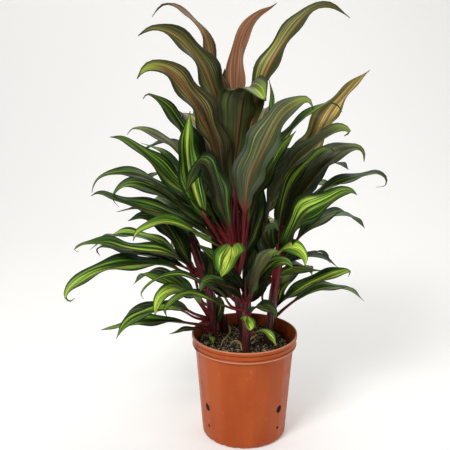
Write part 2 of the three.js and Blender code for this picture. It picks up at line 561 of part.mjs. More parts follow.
// Radius of the pot's inner wall at a height
function innerRadius(height) {
  const bottom = BASE_RADIUS - WALL;
  const shoulder = BODY_TOP_RADIUS - WALL;
  if (height < BODY_TOP) {
    return THREE.MathUtils.mapLinear(height, FLOOR, BODY_TOP, bottom, shoulder);
  }
  return THREE.MathUtils.mapLinear(height, BODY_TOP, POT_HEIGHT, shoulder, RIM_RADIUS - LIP_THICKNESS);
}

// Turned shape about +Z from [radius, height] pairs, with azimuth 0 at the front
function turned(profile, segments) {
  const points = profile.map(([radius, height]) => new THREE.Vector2(radius, height));
  return new THREE.LatheGeometry(points, segments).rotateX(Math.PI / 2);
}

function drainHole(azimuth, height, [wide, high]) {
  const hole = new THREE.CylinderGeometry(0.5, 0.5, 1, 10);
  hole.scale(wide, 6 * WALL, high);
  hole.translate(0, -(BASE_RADIUS + WALL), height);
  hole.rotateZ(THREE.MathUtils.degToRad(azimuth));
  return toSolid(hole);
}

function potSolid() {
  const lipFoot = POT_HEIGHT - LIP_BAND;
  const bandFoot = lipFoot - SECOND_BAND;
  const inset = BAND_STEP / 2;
  const corner = [0, 1, 2].map((k) => {
    const angle = k / 2 * Math.PI / 2;
    return [
      BASE_RADIUS - BASE_CORNER * (1 - Math.sin(angle)),
      BASE_CORNER * (1 - Math.cos(angle)),
    ];
  });
  const profile = [
    [0, 0],
    ...corner,
    [BODY_TOP_RADIUS, BODY_TOP],
    [RIM_RADIUS - BAND_STEP, BODY_TOP + inset],
    [RIM_RADIUS - inset, BODY_TOP + BEAD / 2],
    [RIM_RADIUS - 2 * BAND_STEP, bandFoot],
    [RIM_RADIUS - BAND_STEP, lipFoot],
    [RIM_RADIUS, lipFoot + inset],
    [RIM_RADIUS, POT_HEIGHT - inset],
    [RIM_RADIUS - inset, POT_HEIGHT],
    [RIM_RADIUS - LIP_THICKNESS, POT_HEIGHT],
    [innerRadius(BODY_TOP), BODY_TOP],
    [innerRadius(FLOOR), FLOOR],
    [0, FLOOR],
  ];
  const fluted = [corner.length, corner.length + 1];
  const shape = turned(profile, 2 * FLUTES);
  const places = shape.attributes.position;
  for (let i = 1; i <= 2 * FLUTES; i += 2) {
    for (const k of fluted) {
      const at = i * profile.length + k;
      const pinch = 1 - FLUTE_DEPTH / Math.hypot(places.getX(at), places.getY(at));
      places.setXY(at, places.getX(at) * pinch, places.getY(at) * pinch);
    }
  }
  const holes = SIDE_HOLE_AZIMUTHS.flatMap((azimuth) => [
    drainHole(azimuth, SIDE_HOLE_HEIGHT, SIDE_HOLE_SIZE),
    drainHole(azimuth, LOW_HOLE_HEIGHT, LOW_HOLE_SIZE),
  ]);
  for (let i = 0; i < FLOOR_HOLES; i += 1) {
    const hole = new THREE.CylinderGeometry(FLOOR_HOLE_RADIUS, FLOOR_HOLE_RADIUS, 4 * FLOOR, 8);
    hole.rotateX(Math.PI / 2);
    hole.translate(0, -FLOOR_HOLE_RING, 0);
    hole.rotateZ(2 * Math.PI * i / FLOOR_HOLES);
    holes.push(toSolid(hole));
  }
  return toSolid(shape).subtract(wasm.Manifold.union(holes));
}

// Height of the soil's uneven top
function soilHeight(x, y) {
  const swell = Math.sin(x / 23 + 1.3) * Math.cos(y / 19) + 0.6 * Math.sin(x / 11 - y / 14);
  return SOIL_TOP + SOIL_BUMP * swell - SOIL_SLUMP * THREE.MathUtils.smoothstep(x, SLUMP_FROM, SLUMP_TO);
}

function soilSolid() {
  const bottom = FLOOR + GAP;
  const shoulder = SOIL_TOP - SOIL_SLUMP - 2 * SOIL_BUMP;
  const edge = innerRadius(shoulder) - GAP;
  const profile = [[0, bottom], [innerRadius(bottom) - GAP, bottom]];
  for (let k = SOIL_RINGS; k >= 0; k -= 1) {
    profile.push([edge * k / SOIL_RINGS, SOIL_TOP]);
  }
  const shape = turned(profile, 2 * FLUTES);
  const places = shape.attributes.position;
  for (let i = 0; i < places.count; i += 1) {
    const x = places.getX(i);
    const y = places.getY(i);
    if (places.getZ(i) > shoulder) {
      places.setZ(i, soilHeight(x, y));
    }
  }
  const holes = Object.values(CANES).map((line) => caneSolid(line, SOIL_TOP + 4 * SOIL_BUMP, GAP + 0.1));
  return toSolid(shape).subtract(wasm.Manifold.union(holes));
}

const potPlastic = new THREE.MeshStandardMaterial({ color: '#b5582b', roughness: 0.42, metalness: 0 });
const pottingSoil = new THREE.MeshStandardMaterial({ color: '#2b261f', roughness: 0.95, metalness: 0 });
const foliage = new THREE.MeshStandardMaterial({ color: '#4a5a2c', roughness: 0.45, metalness: 0 });

const plant = new THREE.Group();
plant.name = 'potted_kiwi_ti_plant';
plant.add(toMesh('pot', potSolid(), potPlastic));
plant.add(toMesh('soil', soilSolid(), pottingSoil));
for (const name of Object.keys(CANES)) {
  plant.add(toMesh(name, leafyStem(name), foliage));
}

export default plant;
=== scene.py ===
"""Potted kiwi ti plant: fine surfaces, finishes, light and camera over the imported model.

The leaf rows, the canes and the pot are in millimetres, as the model's source has them, and every
mesh is made in metres in the model's own frame.
"""

import functools
import logging
import math
from dataclasses import dataclass, field
from enum import Enum

import bpy
import numpy as np
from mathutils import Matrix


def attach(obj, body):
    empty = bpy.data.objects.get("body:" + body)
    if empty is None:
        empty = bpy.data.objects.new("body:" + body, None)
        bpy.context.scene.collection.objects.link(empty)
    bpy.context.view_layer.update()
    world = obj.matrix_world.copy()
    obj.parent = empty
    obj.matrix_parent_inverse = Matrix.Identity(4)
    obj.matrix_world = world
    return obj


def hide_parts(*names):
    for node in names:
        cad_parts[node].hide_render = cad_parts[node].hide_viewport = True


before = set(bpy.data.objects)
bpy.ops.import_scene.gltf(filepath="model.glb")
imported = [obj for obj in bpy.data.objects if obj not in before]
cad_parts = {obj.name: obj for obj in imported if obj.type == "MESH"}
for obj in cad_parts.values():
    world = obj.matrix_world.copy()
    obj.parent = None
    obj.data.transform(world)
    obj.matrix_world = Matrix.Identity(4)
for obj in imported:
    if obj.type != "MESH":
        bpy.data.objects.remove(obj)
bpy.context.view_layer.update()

log = logging.getLogger("ti_plant")
MM = 0.001
BODY = "root"
EASED = "SMOOTHSTEP"
LEVEL = (1.0, 1.0, 0.0)
Point = tuple[float, float]
Place = tuple[float, float, float]
Tree = bpy.types.NodeTree
Piece = bpy.types.Object
Feed = bpy.types.Node | bpy.types.NodeSocket


def linear(colour: str) -> tuple[float, float, float, float]:
    """Turn an sRGB hex colour into the linear values that sockets hold.

    Args:
        colour: Six hex digits after a hash.

    Returns:
        Linear red, green and blue, and an alpha of 1.
    """
    parts = [int(colour[i : i + 2], 16) / 255 for i in (1, 3, 5)]
    lit = [p / 12.92 if p <= 0.04045 else ((p + 0.055) / 1.055) ** 2.4 for p in parts]
    return (lit[0], lit[1], lit[2], 1.0)


def add_node(tree: Tree, kind: str, inputs: dict | tuple = (), **settings: object) -> bpy.types.Node:
    """Add a node with its settings and its links.

    Args:
        tree: The tree that gets the node.
        kind: Blender's name for the kind of node.
        inputs: Values for the live sockets in their order, or by socket name or number. A node stands for its
            first live output, and a hex colour for its linear values.
        **settings: Properties of the node itself.

    Returns:
        The new node.
    """
    node = tree.nodes.new(kind)
    for name, value in settings.items():
        setattr(node, name, value)
    if isinstance(inputs, dict):
        pairs = [(node.inputs[key], value) for key, value in inputs.items()]
    else:
        pairs = list(zip((socket for socket in node.inputs if socket.enabled), inputs))
    for socket, value in pairs:
        if isinstance(value, bpy.types.Node):
            value = next(output for output in value.outputs if output.enabled)
        if isinstance(value, bpy.types.NodeSocket):
            tree.links.new(value, socket)
        else:
            socket.default_value = linear(value) if isinstance(value, str) and value[0] == "#" else value
    return node


def product(tree: Tree, *parts: Feed | float | tuple) -> Feed:
    """Multiply shares into one.

    Args:
        tree: The tree that gets the nodes.
        *parts: Numbers, what gives them, or ramps. A ramp is a tuple of what it follows, the two values it
            follows it between, the shares there unless they are 0 and 1, and EASED where it isn't straight.

    Returns:
        What gives the product.
    """
    result = None
    for part in parts:
        if isinstance(part, tuple):
            eased = part[-1] == EASED
            part = add_node(
                tree, "ShaderNodeMapRange", part[:5], interpolation_type=EASED if eased else "LINEAR"
            )
        if result is None:
            result = part
        else:
            result = add_node(tree, "ShaderNodeMath", (result, part), operation="MULTIPLY")
    return result


def layered(tree: Tree, colour: Feed | str, *layers: tuple) -> Feed | str:
    """Lay colours over a first one, each where its shares let it show.

    Args:
        tree: The material's tree.
        colour: The colour under all the layers, in hex or from a node.
        *layers: The colour of each layer, followed by the parts of its share as product takes them.

    Returns:
        What gives the colour on top.
    """
    for tint, *parts in layers:
        colour = add_node(tree, "ShaderNodeMix", (product(tree, *parts), colour, tint), data_type="RGBA")
    return colour


def linked(name: str, data: bpy.types.ID) -> Piece:
    """Put a mesh, curve, light or camera in the scene.

    Args:
        name: The object's name.
        data: What the object holds.

    Returns:
        The object, at the origin.
    """
    made = bpy.data.objects.new(name, data)
    bpy.context.scene.collection.objects.link(made)
    return made


def mesh_piece(name: str, points: np.ndarray, faces: list[list[int]], material: bpy.types.Material) -> Piece:
    """Make a smooth mesh object at the origin from millimetre points.

    Args:
        name: The piece's name.
        points: One row of millimetres for each vertex.
        faces: Vertex numbers of each face, turning left as seen from outside.
        material: The finish of the whole piece.

    Returns:
        The object, linked to the scene.
    """
    mesh = bpy.data.meshes.new(name)
    mesh.from_pydata((np.asarray(points) * MM).tolist(), [], faces)
    mesh.shade_smooth()
    mesh.materials.append(material)
    return linked(name, mesh)


def store(piece: Piece, name: str, values: np.ndarray) -> None:
    """Store a number or three on each vertex for the materials and trees to read.

    Args:
        piece: The mesh object.
        name: The attribute's name.
        values: One number for each vertex, or one row of three numbers.
    """
    kind, field_name = ("FLOAT", "value") if np.ndim(values) == 1 else ("FLOAT_VECTOR", "vector")
    layer = piece.data.attributes.new(name, kind, "POINT")
    layer.data.foreach_set(field_name, np.asarray(values, np.float32).ravel())


def applied(piece: Piece) -> Piece:
    """Turn a piece with modifiers into a plain mesh with none.

    Args:
        piece: The object whose modifiers are applied.

    Returns:
        The object that holds the plain mesh, which is new where the piece was a curve.
    """
    depsgraph = bpy.context.evaluated_depsgraph_get()
    mesh = bpy.data.meshes.new_from_object(piece.evaluated_get(depsgraph), depsgraph=depsgraph)
    if piece.type == "MESH":
        piece.modifiers.clear()
        piece.data = mesh
        return piece
    name = piece.name
    bpy.data.objects.remove(piece)
    return linked(name, mesh)


def new_tree(name: str, **kinds: str) -> tuple[Tree, dict[str, bpy.types.NodeSocket]]:
    """Start a Geometry Nodes tree with named inputs and one output.

    Args:
        name: The tree's name.
        **kinds: Name of each input, after the geometry and the material, to its kind of socket.

    Returns:
        The tree, and the outputs of its input node by name.
    """
    tree = bpy.data.node_groups.new(name, "GeometryNodeTree")
    tree.interface.new_socket("geometry", in_out="OUTPUT", socket_type="NodeSocketGeometry")
    for socket, kind in {"geometry": "Geometry", "material": "Material", **kinds}.items():
        tree.interface.new_socket(socket, in_out="INPUT", socket_type=f"NodeSocket{kind}")
    entry = add_node(tree, "NodeGroupInput")
    return tree, {output.name: output for output in entry.outputs if output.name}


def end_tree(tree: Tree, geometry: Feed, material: bpy.types.NodeSocket) -> Tree:
    """End a tree in real meshes that all have its material.

    Args:
        tree: The tree.
        geometry: What the tree has made.
        material: The tree's material input.

    Returns:
        The finished tree.
    """
    solid = add_node(tree, "GeometryNodeRealizeInstances", {"Geometry": geometry})
    dressed = add_node(tree, "GeometryNodeSetMaterial", {"Geometry": solid, "Material": material})
    add_node(tree, "NodeGroupOutput", (dressed,))
    return tree


def run_tree(piece: Piece, tree: Tree, **values: object) -> Piece:
    """Run a Geometry Nodes tree on a piece and keep the result as its plain mesh.

    Args:
        piece: The object that the tree works on.
        tree: The tree.
        **values: Input name to value.

    Returns:
        The object that holds the result.
    """
    modifier = piece.modifiers.new(tree.name, "NODES")
    modifier.node_group = tree
    for socket in tree.interface.items_tree:
        if socket.in_out == "INPUT" and socket.name in values:
            modifier[socket.identifier] = values[socket.name]
    return applied(piece)


def seat(piece: Piece, node: str) -> None:
    """Let a piece stand for a node of the model and ride with it.

    Args:
        piece: The finished piece.
        node: The node that it replaces.
    """
    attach(piece, BODY)
    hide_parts(node)


@dataclass(frozen=True)
class Finish:
    """What every finish has: its name, and the node material that its own surface method fills."""

    name: str

    def surface(self, tree: Tree) -> dict[str, object]:
        """Add the nodes of the surface, and give the shader's inputs by name."""
        raise NotImplementedError

    def material(self) -> bpy.types.Material:
        """Build the node material.

        Returns:
            The material.
        """
        made = bpy.data.materials.new(self.name)
        made.use_nodes = True
        tree = made.node_tree
        tree.nodes.clear()
        shader = add_node(tree, "ShaderNodeBsdfPrincipled", self.surface(tree))
        add_node(tree, "ShaderNodeOutputMaterial", {"Surface": shader})
        return made


@dataclass(frozen=True)
class TiLeafFinish(Finish):
    """Leathery ti leaf: a waxy, half gloss skin, streaked along its veins, on a dark red stalk."""

    # Wax over close veins gives the eye a long soft gleam down each half, broken into fine lines. Real veins
    # are under a millimetre apart, and the veins and streaks are drawn two to three wide so that they show
    ground: str
    border: str
    streak: str
    streak_deep: str
    heart: str
    rib: str
    under: str
    tip: str
    streaked: float = 0.5
    hearted: float = 0.4
    tipped: float = 0.5
    edge: str = "#2a1a10"
    edge_share: float = 0.5
    stalk: str = "#56141a"
    stalk_light: str = "#96363c"
    dry: str = "#2e2218"
    veined: float = 1.0
    tip_from: float = 0.62
    rib_half_mm: float = 1.3
    edge_mm: float = 0.9
    streak_mm: float = 3.4
    vein_mm: float = 2.2
    patch_mm: float = 11.0
    blade_half_mm: float = 30.0
    vein_slant: float = 0.42
    halves_apart: float = 3.7
    seeds_apart: float = 5.3
    vein_bump_mm: float = 0.9
    patch_bump_mm: float = 4.0
    roughness: float = 0.3
    sheen: float = 0.2

    def surface(self, tree: Tree) -> dict[str, object]:
        """Add the nodes of the leaf's skin, which read where on the leaf they are from its attributes.

        Args:
            tree: The material's tree.

        Returns:
            The shader's inputs by name.
        """
        add = functools.partial(add_node, tree)
        place = add("ShaderNodeAttribute", attribute_name="leaf_place").outputs["Vector"]
        across, along, seed = add("ShaderNodeSeparateXYZ", (place,)).outputs
        half, upper = (add("ShaderNodeAttribute", attribute_name=name).outputs["Fac"]
                       for name in ("leaf_half_mm", "leaf_upper"))
        off_rib = add("ShaderNodeMath", (across,), operation="ABSOLUTE")
        rib_mm = product(tree, off_rib, half)
        edge_mm = add("ShaderNodeMath", (half, rib_mm), operation="SUBTRACT")

        # Veins leave the rib at a slant, so streaks follow the share across less a share of the way along
        side = add("ShaderNodeMath", (across,), operation="SIGN")
        half_seed = add("ShaderNodeMath", (side, self.halves_apart, seed), operation="MULTIPLY_ADD")
        fan = add("ShaderNodeMath", (along, -self.vein_slant, off_rib), operation="MULTIPLY_ADD")
        veined = add("ShaderNodeCombineXYZ", (fan, along, half_seed))
        noises = []
        for wide_mm, stretch, detail in ((self.streak_mm, 1.1, 2.0), (self.vein_mm, 1.4, 1.0),
                                         (self.patch_mm, 1.3, 2.0)):
            scale = (self.blade_half_mm / wide_mm, stretch, self.seeds_apart)
            at = add("ShaderNodeVectorMath", (veined, scale), operation="MULTIPLY")
            noises.append(add(
                "ShaderNodeTexNoise", {"Vector": at, "Scale": 1.0, "Detail": detail, "Roughness": 0.65}
            ))
        streak_noise, vein_noise, patch_noise = noises

        # The heart is a warmer band beside the rib. The streaks are sharp and pale, thick in the middle of
        # each half and few at the margin
        low = 0.5 + 0.12 * (1 - 2 * self.streaked)
        inner = add("ShaderNodeMapRange", (off_rib, 0.92, 0.5), interpolation_type=EASED)
        streak = layered(tree, self.streak_deep, (self.streak, (patch_noise, 0.4, 0.6)))
        colour = layered(
            tree, self.ground,
            (self.border, (off_rib, 0.5, 0.95, 0.0, 1.0, EASED)),
            (self.heart, (off_rib, 0.5, 0.1, 0.0, self.hearted, EASED), (patch_noise, 0.35, 0.6, 0.3, 1.0)),
            (streak, (streak_noise, low, low + 0.035, 0.0, 1.0, EASED), inner, (along, 0.0, 0.5, 0.35, 1.0)),
            (self.tip, (along, self.tip_from, 0.95, 0.0, self.tipped, EASED), inner),
            (self.under, (upper, 0.0, 1.0, 0.7, 0.0)),
        )

        # Painted light and shade: each half of a blade is made lighter or darker at random, as a folded blade
        # turns its halves to the light apart, and each is mottled along its length
        painted_half_shade = add("ShaderNodeTexWhiteNoise", {"W": half_seed}, noise_dimensions="1D")
        shade = product(
            tree, (vein_noise, 0.36, 0.64, 1 - 0.65 * self.veined, 1 + 0.6 * self.veined),
            (painted_half_shade, 0.0, 1.0, 0.78, 1.22), (patch_noise, 0.35, 0.65, 0.82, 1.18),
        )
        colour = add("ShaderNodeVectorMath", (colour, shade), operation="SCALE")

        # The edge is thin and dark, the rib goes from the stalk's red to its own colour, the stalk is
        # streaked in two reds, and the very tip is dry
        colour = layered(
            tree, colour,
            (self.edge, (edge_mm, self.edge_mm, 0.2, 0.0, self.edge_share, EASED)),
            (layered(tree, self.stalk_light, (self.rib, (along, 0.1, 0.7))),
             (rib_mm, self.rib_half_mm, 0.5 * self.rib_half_mm, 0.0, 0.9, EASED), (along, 0.85, 0.5)),
            (layered(tree, self.stalk, (self.stalk_light, (vein_noise, 0.35, 0.65))),
             (along, 0.12, -0.02, 0.0, 1.0, EASED)),
            (self.dry, (along, 0.955, 0.99)),
        )

        # The wax is thinner in patches and worn off towards the margin
        gloss = add("ShaderNodeMapRange", (patch_noise, 0.3, 0.7, self.roughness, self.roughness + 0.14))
        matt = add("ShaderNodeMapRange", (off_rib, 0.7, 0.97, 0.0, 0.35))
        veins = add("ShaderNodeBump", {
            "Strength": 0.8, "Distance": self.vein_bump_mm * MM, "Height": vein_noise,
        })
        bump = add("ShaderNodeBump", {
            "Strength": 0.7, "Distance": self.patch_bump_mm * MM, "Height": patch_noise, "Normal": veins,
        })
        return {
            "Base Color": colour, "Roughness": add("ShaderNodeMath", (gloss, matt), operation="ADD"),
            "Normal": bump, "IOR": 1.45, "Specular IOR Level": self.sheen,
        }


class Tone(Enum):
    """The leaf finishes of the plant, named for how each looks from a step away.

    The colours of each are its ground, border, streaks, deep streaks, heart, rib, underside and tip.
    """

    DARK = TiLeafFinish("ti leaf, dark green", "#1f2f16", "#18260f", "#6d8a34", "#39552a", "#3c4220",
        "#7a3a26", "#39452e", "#6f9433", streaked=0.32, hearted=0.35, tipped=0.3)
    GREEN = TiLeafFinish("ti leaf, green", "#28461b", "#1a3011", "#9ab541", "#54802f", "#5c6426", "#7a4a2a",
        "#44582f", "#7f9f38", streaked=0.45, hearted=0.35, tipped=0.4)
    STRIPED = TiLeafFinish("ti leaf, green with lime stripes", "#2d501c", "#1c3812", "#b2cb4b", "#74a038",
        "#6f7f30", "#8a6a38", "#4d6633", "#93b240", streaked=0.56, hearted=0.35, tipped=0.5)
    LIME = TiLeafFinish("ti leaf, lime", "#4a7826", "#33601d", "#bfd256", "#86a938", "#9fb13f", "#8c7a3a",
        "#6f9040", "#adc84a", streaked=0.66, hearted=0.5, tipped=0.7, edge="#2c3a16")
    GREY = TiLeafFinish("ti leaf, grey green", "#485036", "#454e3c", "#767c3e", "#5a603e", "#6e5e38",
        "#5e2616", "#535a42", "#869a3c", streaked=0.36, hearted=0.55, tipped=0.7, veined=0.6, tip_from=0.78)
    DUSKY = TiLeafFinish("ti leaf, dusky green with a lime tip", "#363f1f", "#2e3718", "#6c7438", "#4a5026",
        "#5c4626", "#5a2414", "#3c4220", "#9db83e", streaked=0.36, hearted=0.6, tipped=0.9, veined=0.7,
        tip_from=0.72, edge="#4a2418")
    BROWN = TiLeafFinish("ti leaf, brown", "#5e4a2a", "#503e24", "#8a6c40", "#6a5232", "#8c6444", "#a87460",
        "#745438", "#5a3e2c", streaked=0.4, hearted=0.7, tipped=0.5, edge="#3a2016")
    OLIVE = TiLeafFinish("ti leaf, olive with a gold heart", "#434722", "#3a3e1e", "#828040", "#5e602c",
        "#8c6e36", "#a4584a", "#4c4a2a", "#4e4a28", streaked=0.42, hearted=0.8, tipped=0.4, edge="#4a2418")
    BRONZE = TiLeafFinish("ti leaf, bronze", "#3e3a1e", "#3a371c", "#928a4a", "#686232", "#9c703e",
        "#984a30", "#5a4a30", "#8fa23a", streaked=0.46, hearted=0.85, tipped=0.85, tip_from=0.8,
        edge="#4a2418")
    GOLD = TiLeafFinish("ti leaf, gold", "#9a8a48", "#7c7c3e", "#c8b468", "#a8934a", "#d2946e", "#b87460",
        "#b08f5a", "#b4a04e", streaked=0.5, hearted=1.0, tipped=0.5, edge="#5a3a22")
    COPPER = TiLeafFinish("ti leaf, copper", "#885830", "#704c2a", "#b08452", "#986840", "#b87e54",
        "#b07a72", "#a47252", "#745038", streaked=0.5, hearted=0.7, tipped=0.3, veined=0.7, edge="#4a2818")


@dataclass(frozen=True)
class StalkSkin(Finish):
    """Smooth skin of young canes and of the stalk bases that clasp them: wine red, glossy, streaked."""

    # The skin is taut and waxy, so the eye gets a bright line down each stalk over darker red streaks. Old
    # stalk bases low on the cane go brown
    name: str = "wine red stalk skin"
    deep: str = "#380c10"
    light: str = "#98363c"
    brown: str = "#442a24"
    brown_from: float = 0.33
    brown_to: float = 0.235
    streaks_round: float = 9.0
    streaks_along: float = 1.6
    bump_mm: float = 0.6

    def surface(self, tree: Tree) -> dict[str, object]:
        """Add the nodes of the skin, which read the stalk_place attribute.

        Args:
            tree: The material's tree.

        Returns:
            The shader's inputs by name.
        """
        add = functools.partial(add_node, tree)
        place = add("ShaderNodeAttribute", attribute_name="stalk_place").outputs["Vector"]
        scale = (self.streaks_round, self.streaks_along, 9.0)
        at = add("ShaderNodeVectorMath", (place, scale), operation="MULTIPLY")
        streaks = add("ShaderNodeTexNoise", {"Vector": at, "Scale": 1.0, "Detail": 3.0, "Roughness": 0.6})
        spot = add("ShaderNodeTexCoord").outputs["Object"]
        height = add("ShaderNodeSeparateXYZ", (spot,)).outputs[2]
        colour = layered(
            tree, self.deep,
            (self.light, (streaks, 0.42, 0.7, 0.0, 0.7)),
            (self.brown, (height, self.brown_from, self.brown_to, 0.0, 0.75)),
        )
        bump = add("ShaderNodeBump", {"Strength": 0.6, "Distance": self.bump_mm * MM, "Height": streaks})
        return {"Base Color": colour, "Roughness": 0.36, "Normal": bump, "IOR": 1.45}


@dataclass(frozen=True)
class MouldedPolypropylene(Finish):
    """Injection moulded polypropylene: even terracotta orange, satin, with scuffs, dust and soil splashes."""

    # A fine moulded texture gives the eye a soft wide gleam with no mirror in it. The real texture is finer
    # than the render can show, so it is drawn 1.6 mm wide
    name: str = "moulded polypropylene, terracotta"
    shell: str = "#a4440e"
    light: str = "#b04f18"
    scuff: str = "#be7a52"
    # Inside, the wall is painted darker as shade, and lighter near the rim as painted light
    inner: str = "#64200a"
    inner_rim_light: str = "#b4541e"
    # Soil dirt, also used as painted shade in the rim's grooves
    soil_dirt_and_shade: str = "#4a2a1a"
    # Painted highlight along the rim's two crests: its colour, heights and half width
    crest_highlight: str = "#d99a78"
    crest_highlight_heights_mm: tuple[float, ...] = (231.8, 257.2)
    crest_highlight_half_mm: float = 2.2
    smear_at_mm: Place = (-112.0, -52.0, 236.0)
    smear_reach_mm: float = 30.0
    splash_top_mm: float = 70.0
    # Heights inside where the painted shade turns into the painted light near the rim
    rim_light_from_mm: float = 218.0
    rim_light_full_mm: float = 248.0
    rim_foot_mm: float = 226.0
    # Radii between which the painted shade in the rim's grooves comes in
    groove_shade_radius_mm: float = 123.7
    unshaded_radius_mm: float = 125.0
    mottle_mm: float = 55.0
    scuff_mm: float = 22.0
    speck_mm: float = 5.0
    peel_mm: float = 1.6
    peel_bump_mm: float = 0.3

    def surface(self, tree: Tree) -> dict[str, object]:
        """Add the nodes of the plastic, which read the pot_inside attribute.

        Args:
            tree: The material's tree.

        Returns:
            The shader's inputs by name.
        """
        add = functools.partial(add_node, tree)
        place = add("ShaderNodeTexCoord").outputs["Object"]
        height = add("ShaderNodeSeparateXYZ", (place,)).outputs[2]
        inside = add("ShaderNodeAttribute", attribute_name="pot_inside").outputs["Fac"]
        tall = add("ShaderNodeVectorMath", (place, (1.0, 1.0, 0.35)), operation="MULTIPLY")
        mottle, scuffs, specks, peel = (
            add("ShaderNodeTexNoise", {
                "Vector": at, "Scale": 1 / (wide_mm * MM), "Detail": detail, "Roughness": roughness,
            })
            for at, wide_mm, detail, roughness in (
                (tall, self.mottle_mm, 3.0, 0.5), (place, self.scuff_mm, 6.0, 0.72),
                (place, self.speck_mm, 2.0, 0.5), (place, self.peel_mm, 1.0, 0.5),
            )
        )

        # Watering splashes soil low on the wall, a little less of it the higher
        low = add("ShaderNodeMapRange", (height, self.splash_top_mm * MM, 0.0, 0.72, 0.63))
        splash = add("ShaderNodeMath", (specks, low), operation="SUBTRACT")
        level = add("ShaderNodeVectorMath", (place, LEVEL), operation="MULTIPLY")
        radius = add("ShaderNodeVectorMath", (level,), operation="LENGTH")
        colour = layered(
            tree, self.shell,
            (self.light, (mottle, 0.35, 0.65)),
            (self.scuff, (scuffs, 0.58, 0.72, 0.0, 0.4, EASED)),
            (self.soil_dirt_and_shade, (splash, 0.0, 0.05, 0.0, 0.6)),
            # Painted shade: the grooves of the rim are darkened with the soil colour, where shade falls in
            # them
            (self.soil_dirt_and_shade, (radius, self.unshaded_radius_mm * MM, self.groove_shade_radius_mm * MM),
             (height, self.rim_foot_mm * MM, (self.rim_foot_mm + 1) * MM), (mottle, 0.35, 0.65, 0.25, 0.8)),
        )

        # Painted highlight: a pale line round each crest of the rim, where light catches it
        for crest in self.crest_highlight_heights_mm:
            over = add("ShaderNodeMath", (height, crest * MM), operation="SUBTRACT")
            away = add("ShaderNodeMath", (over,), operation="ABSOLUTE")
            colour = layered(tree, colour, (self.crest_highlight, (away, self.crest_highlight_half_mm * MM, 0.0, 0.0, 0.85)))

        # A thumb of wet soil has been dragged over the rim at one side. Inside, the wall is painted darker as
        # shade, most of all low down, turns to a painted light near the rim, and is smeared with soil
        spot = tuple(v * MM for v in self.smear_at_mm)
        off = add("ShaderNodeVectorMath", (place, spot), operation="DISTANCE")
        reach = self.smear_reach_mm * MM
        near = add("ShaderNodeMapRange", (off, 0.3 * reach, reach, 0.3, -0.3))
        smear = add("ShaderNodeMath", (specks, near), operation="ADD")
        wall = layered(
            tree, self.inner,
            (self.inner_rim_light, (height, self.rim_light_from_mm * MM, self.rim_light_full_mm * MM, 0.0, 1.0, EASED)),
            (self.soil_dirt_and_shade, (scuffs, 0.52, 0.6, 0.0, 0.7)),
        )
        colour = layered(
            tree, colour, (self.soil_dirt_and_shade, (smear, 0.62, 0.74, 0.0, 0.8)), (wall, (inside, 0.4, 0.6, 0.0, 0.9))
        )
        return {
            "Base Color": colour, "Roughness": add("ShaderNodeMapRange", (scuffs, 0.35, 0.7, 0.32, 0.55)),
            "Normal": add("ShaderNodeBump", {
                "Strength": 0.12, "Distance": self.peel_bump_mm * MM, "Height": peel,
            }),
            "IOR": 1.49, "Specular IOR Level": 0.25,
        }


@dataclass(frozen=True)
class LooseMatter(Finish):
    """Peat, bark, wood fibre or root: a matt, rough skin between two colours, chosen crumb by crumb."""

    # Dry plant matter has no gleam, so each crumb gives the eye one tone, with a grain that is drawn a few
    # times its real width so that it shows
    dark: str
    light: str
    dark_share: float = 0.0
    grain_mm: float = 2.0
    roughness: float = 0.9
    bump_mm: float = 0.8

    def surface(self, tree: Tree) -> dict[str, object]:
        """Add the nodes of the crumbs, which read the crumb_shade attribute.

        Args:
            tree: The material's tree.

        Returns:
            The shader's inputs by name.
        """
        add = functools.partial(add_node, tree)
        place = add("ShaderNodeTexCoord").outputs["Object"]
        shade = add("ShaderNodeAttribute", attribute_name="crumb_shade").outputs["Fac"]
        grain = add("ShaderNodeTexNoise", {
            "Vector": place, "Scale": 1 / (self.grain_mm * MM), "Detail": 4.0, "Roughness": 0.65,
        })
        grained = add("ShaderNodeMapRange", (grain, 0.3, 0.7, -0.35, 0.35))
        share = add("ShaderNodeMath", (shade, grained), operation="ADD")
        colour = layered(tree, self.dark, (self.light, (share, self.dark_share, 1.1)))
        bump = add("ShaderNodeBump", {"Strength": 0.8, "Distance": self.bump_mm * MM, "Height": grain})
        return {"Base Color": colour, "Roughness": self.roughness, "Normal": bump}


PEAT = LooseMatter("peat and fine bark potting mix", "#060403", "#d0b686", dark_share=0.68)
BARK_CHIP = LooseMatter("composted bark chips", "#1a1008", "#dcc090", dark_share=0.45, grain_mm=3.0)
WOOD_FIBRE = LooseMatter("pale wood fibre and perlite", "#a8956c", "#f0e6c8", grain_mm=1.5)
ROOT_SKIN = LooseMatter("pale surface root", "#b39a62", "#efe0b0", grain_mm=4.0, roughness=0.6)


@dataclass(frozen=True)
class MattPaper(Finish):
    """Uncoated studio paper: matt white, and pale in its own shadows as paper is that light goes through."""

    name: str = "matt white paper"
    white: str = "#f4f3f1"
    roughness: float = 0.9
    glow: float = 0.2

    def surface(self, tree: Tree) -> dict[str, object]:
        """Give the inputs of an even sheet, which needs no nodes of its own.

        Args:
            tree: The material's tree.

        Returns:
            The shader's inputs by name.
        """
        return {
            "Base Color": self.white, "Roughness": self.roughness,
            "Emission Color": self.white, "Emission Strength": self.glow,
        }


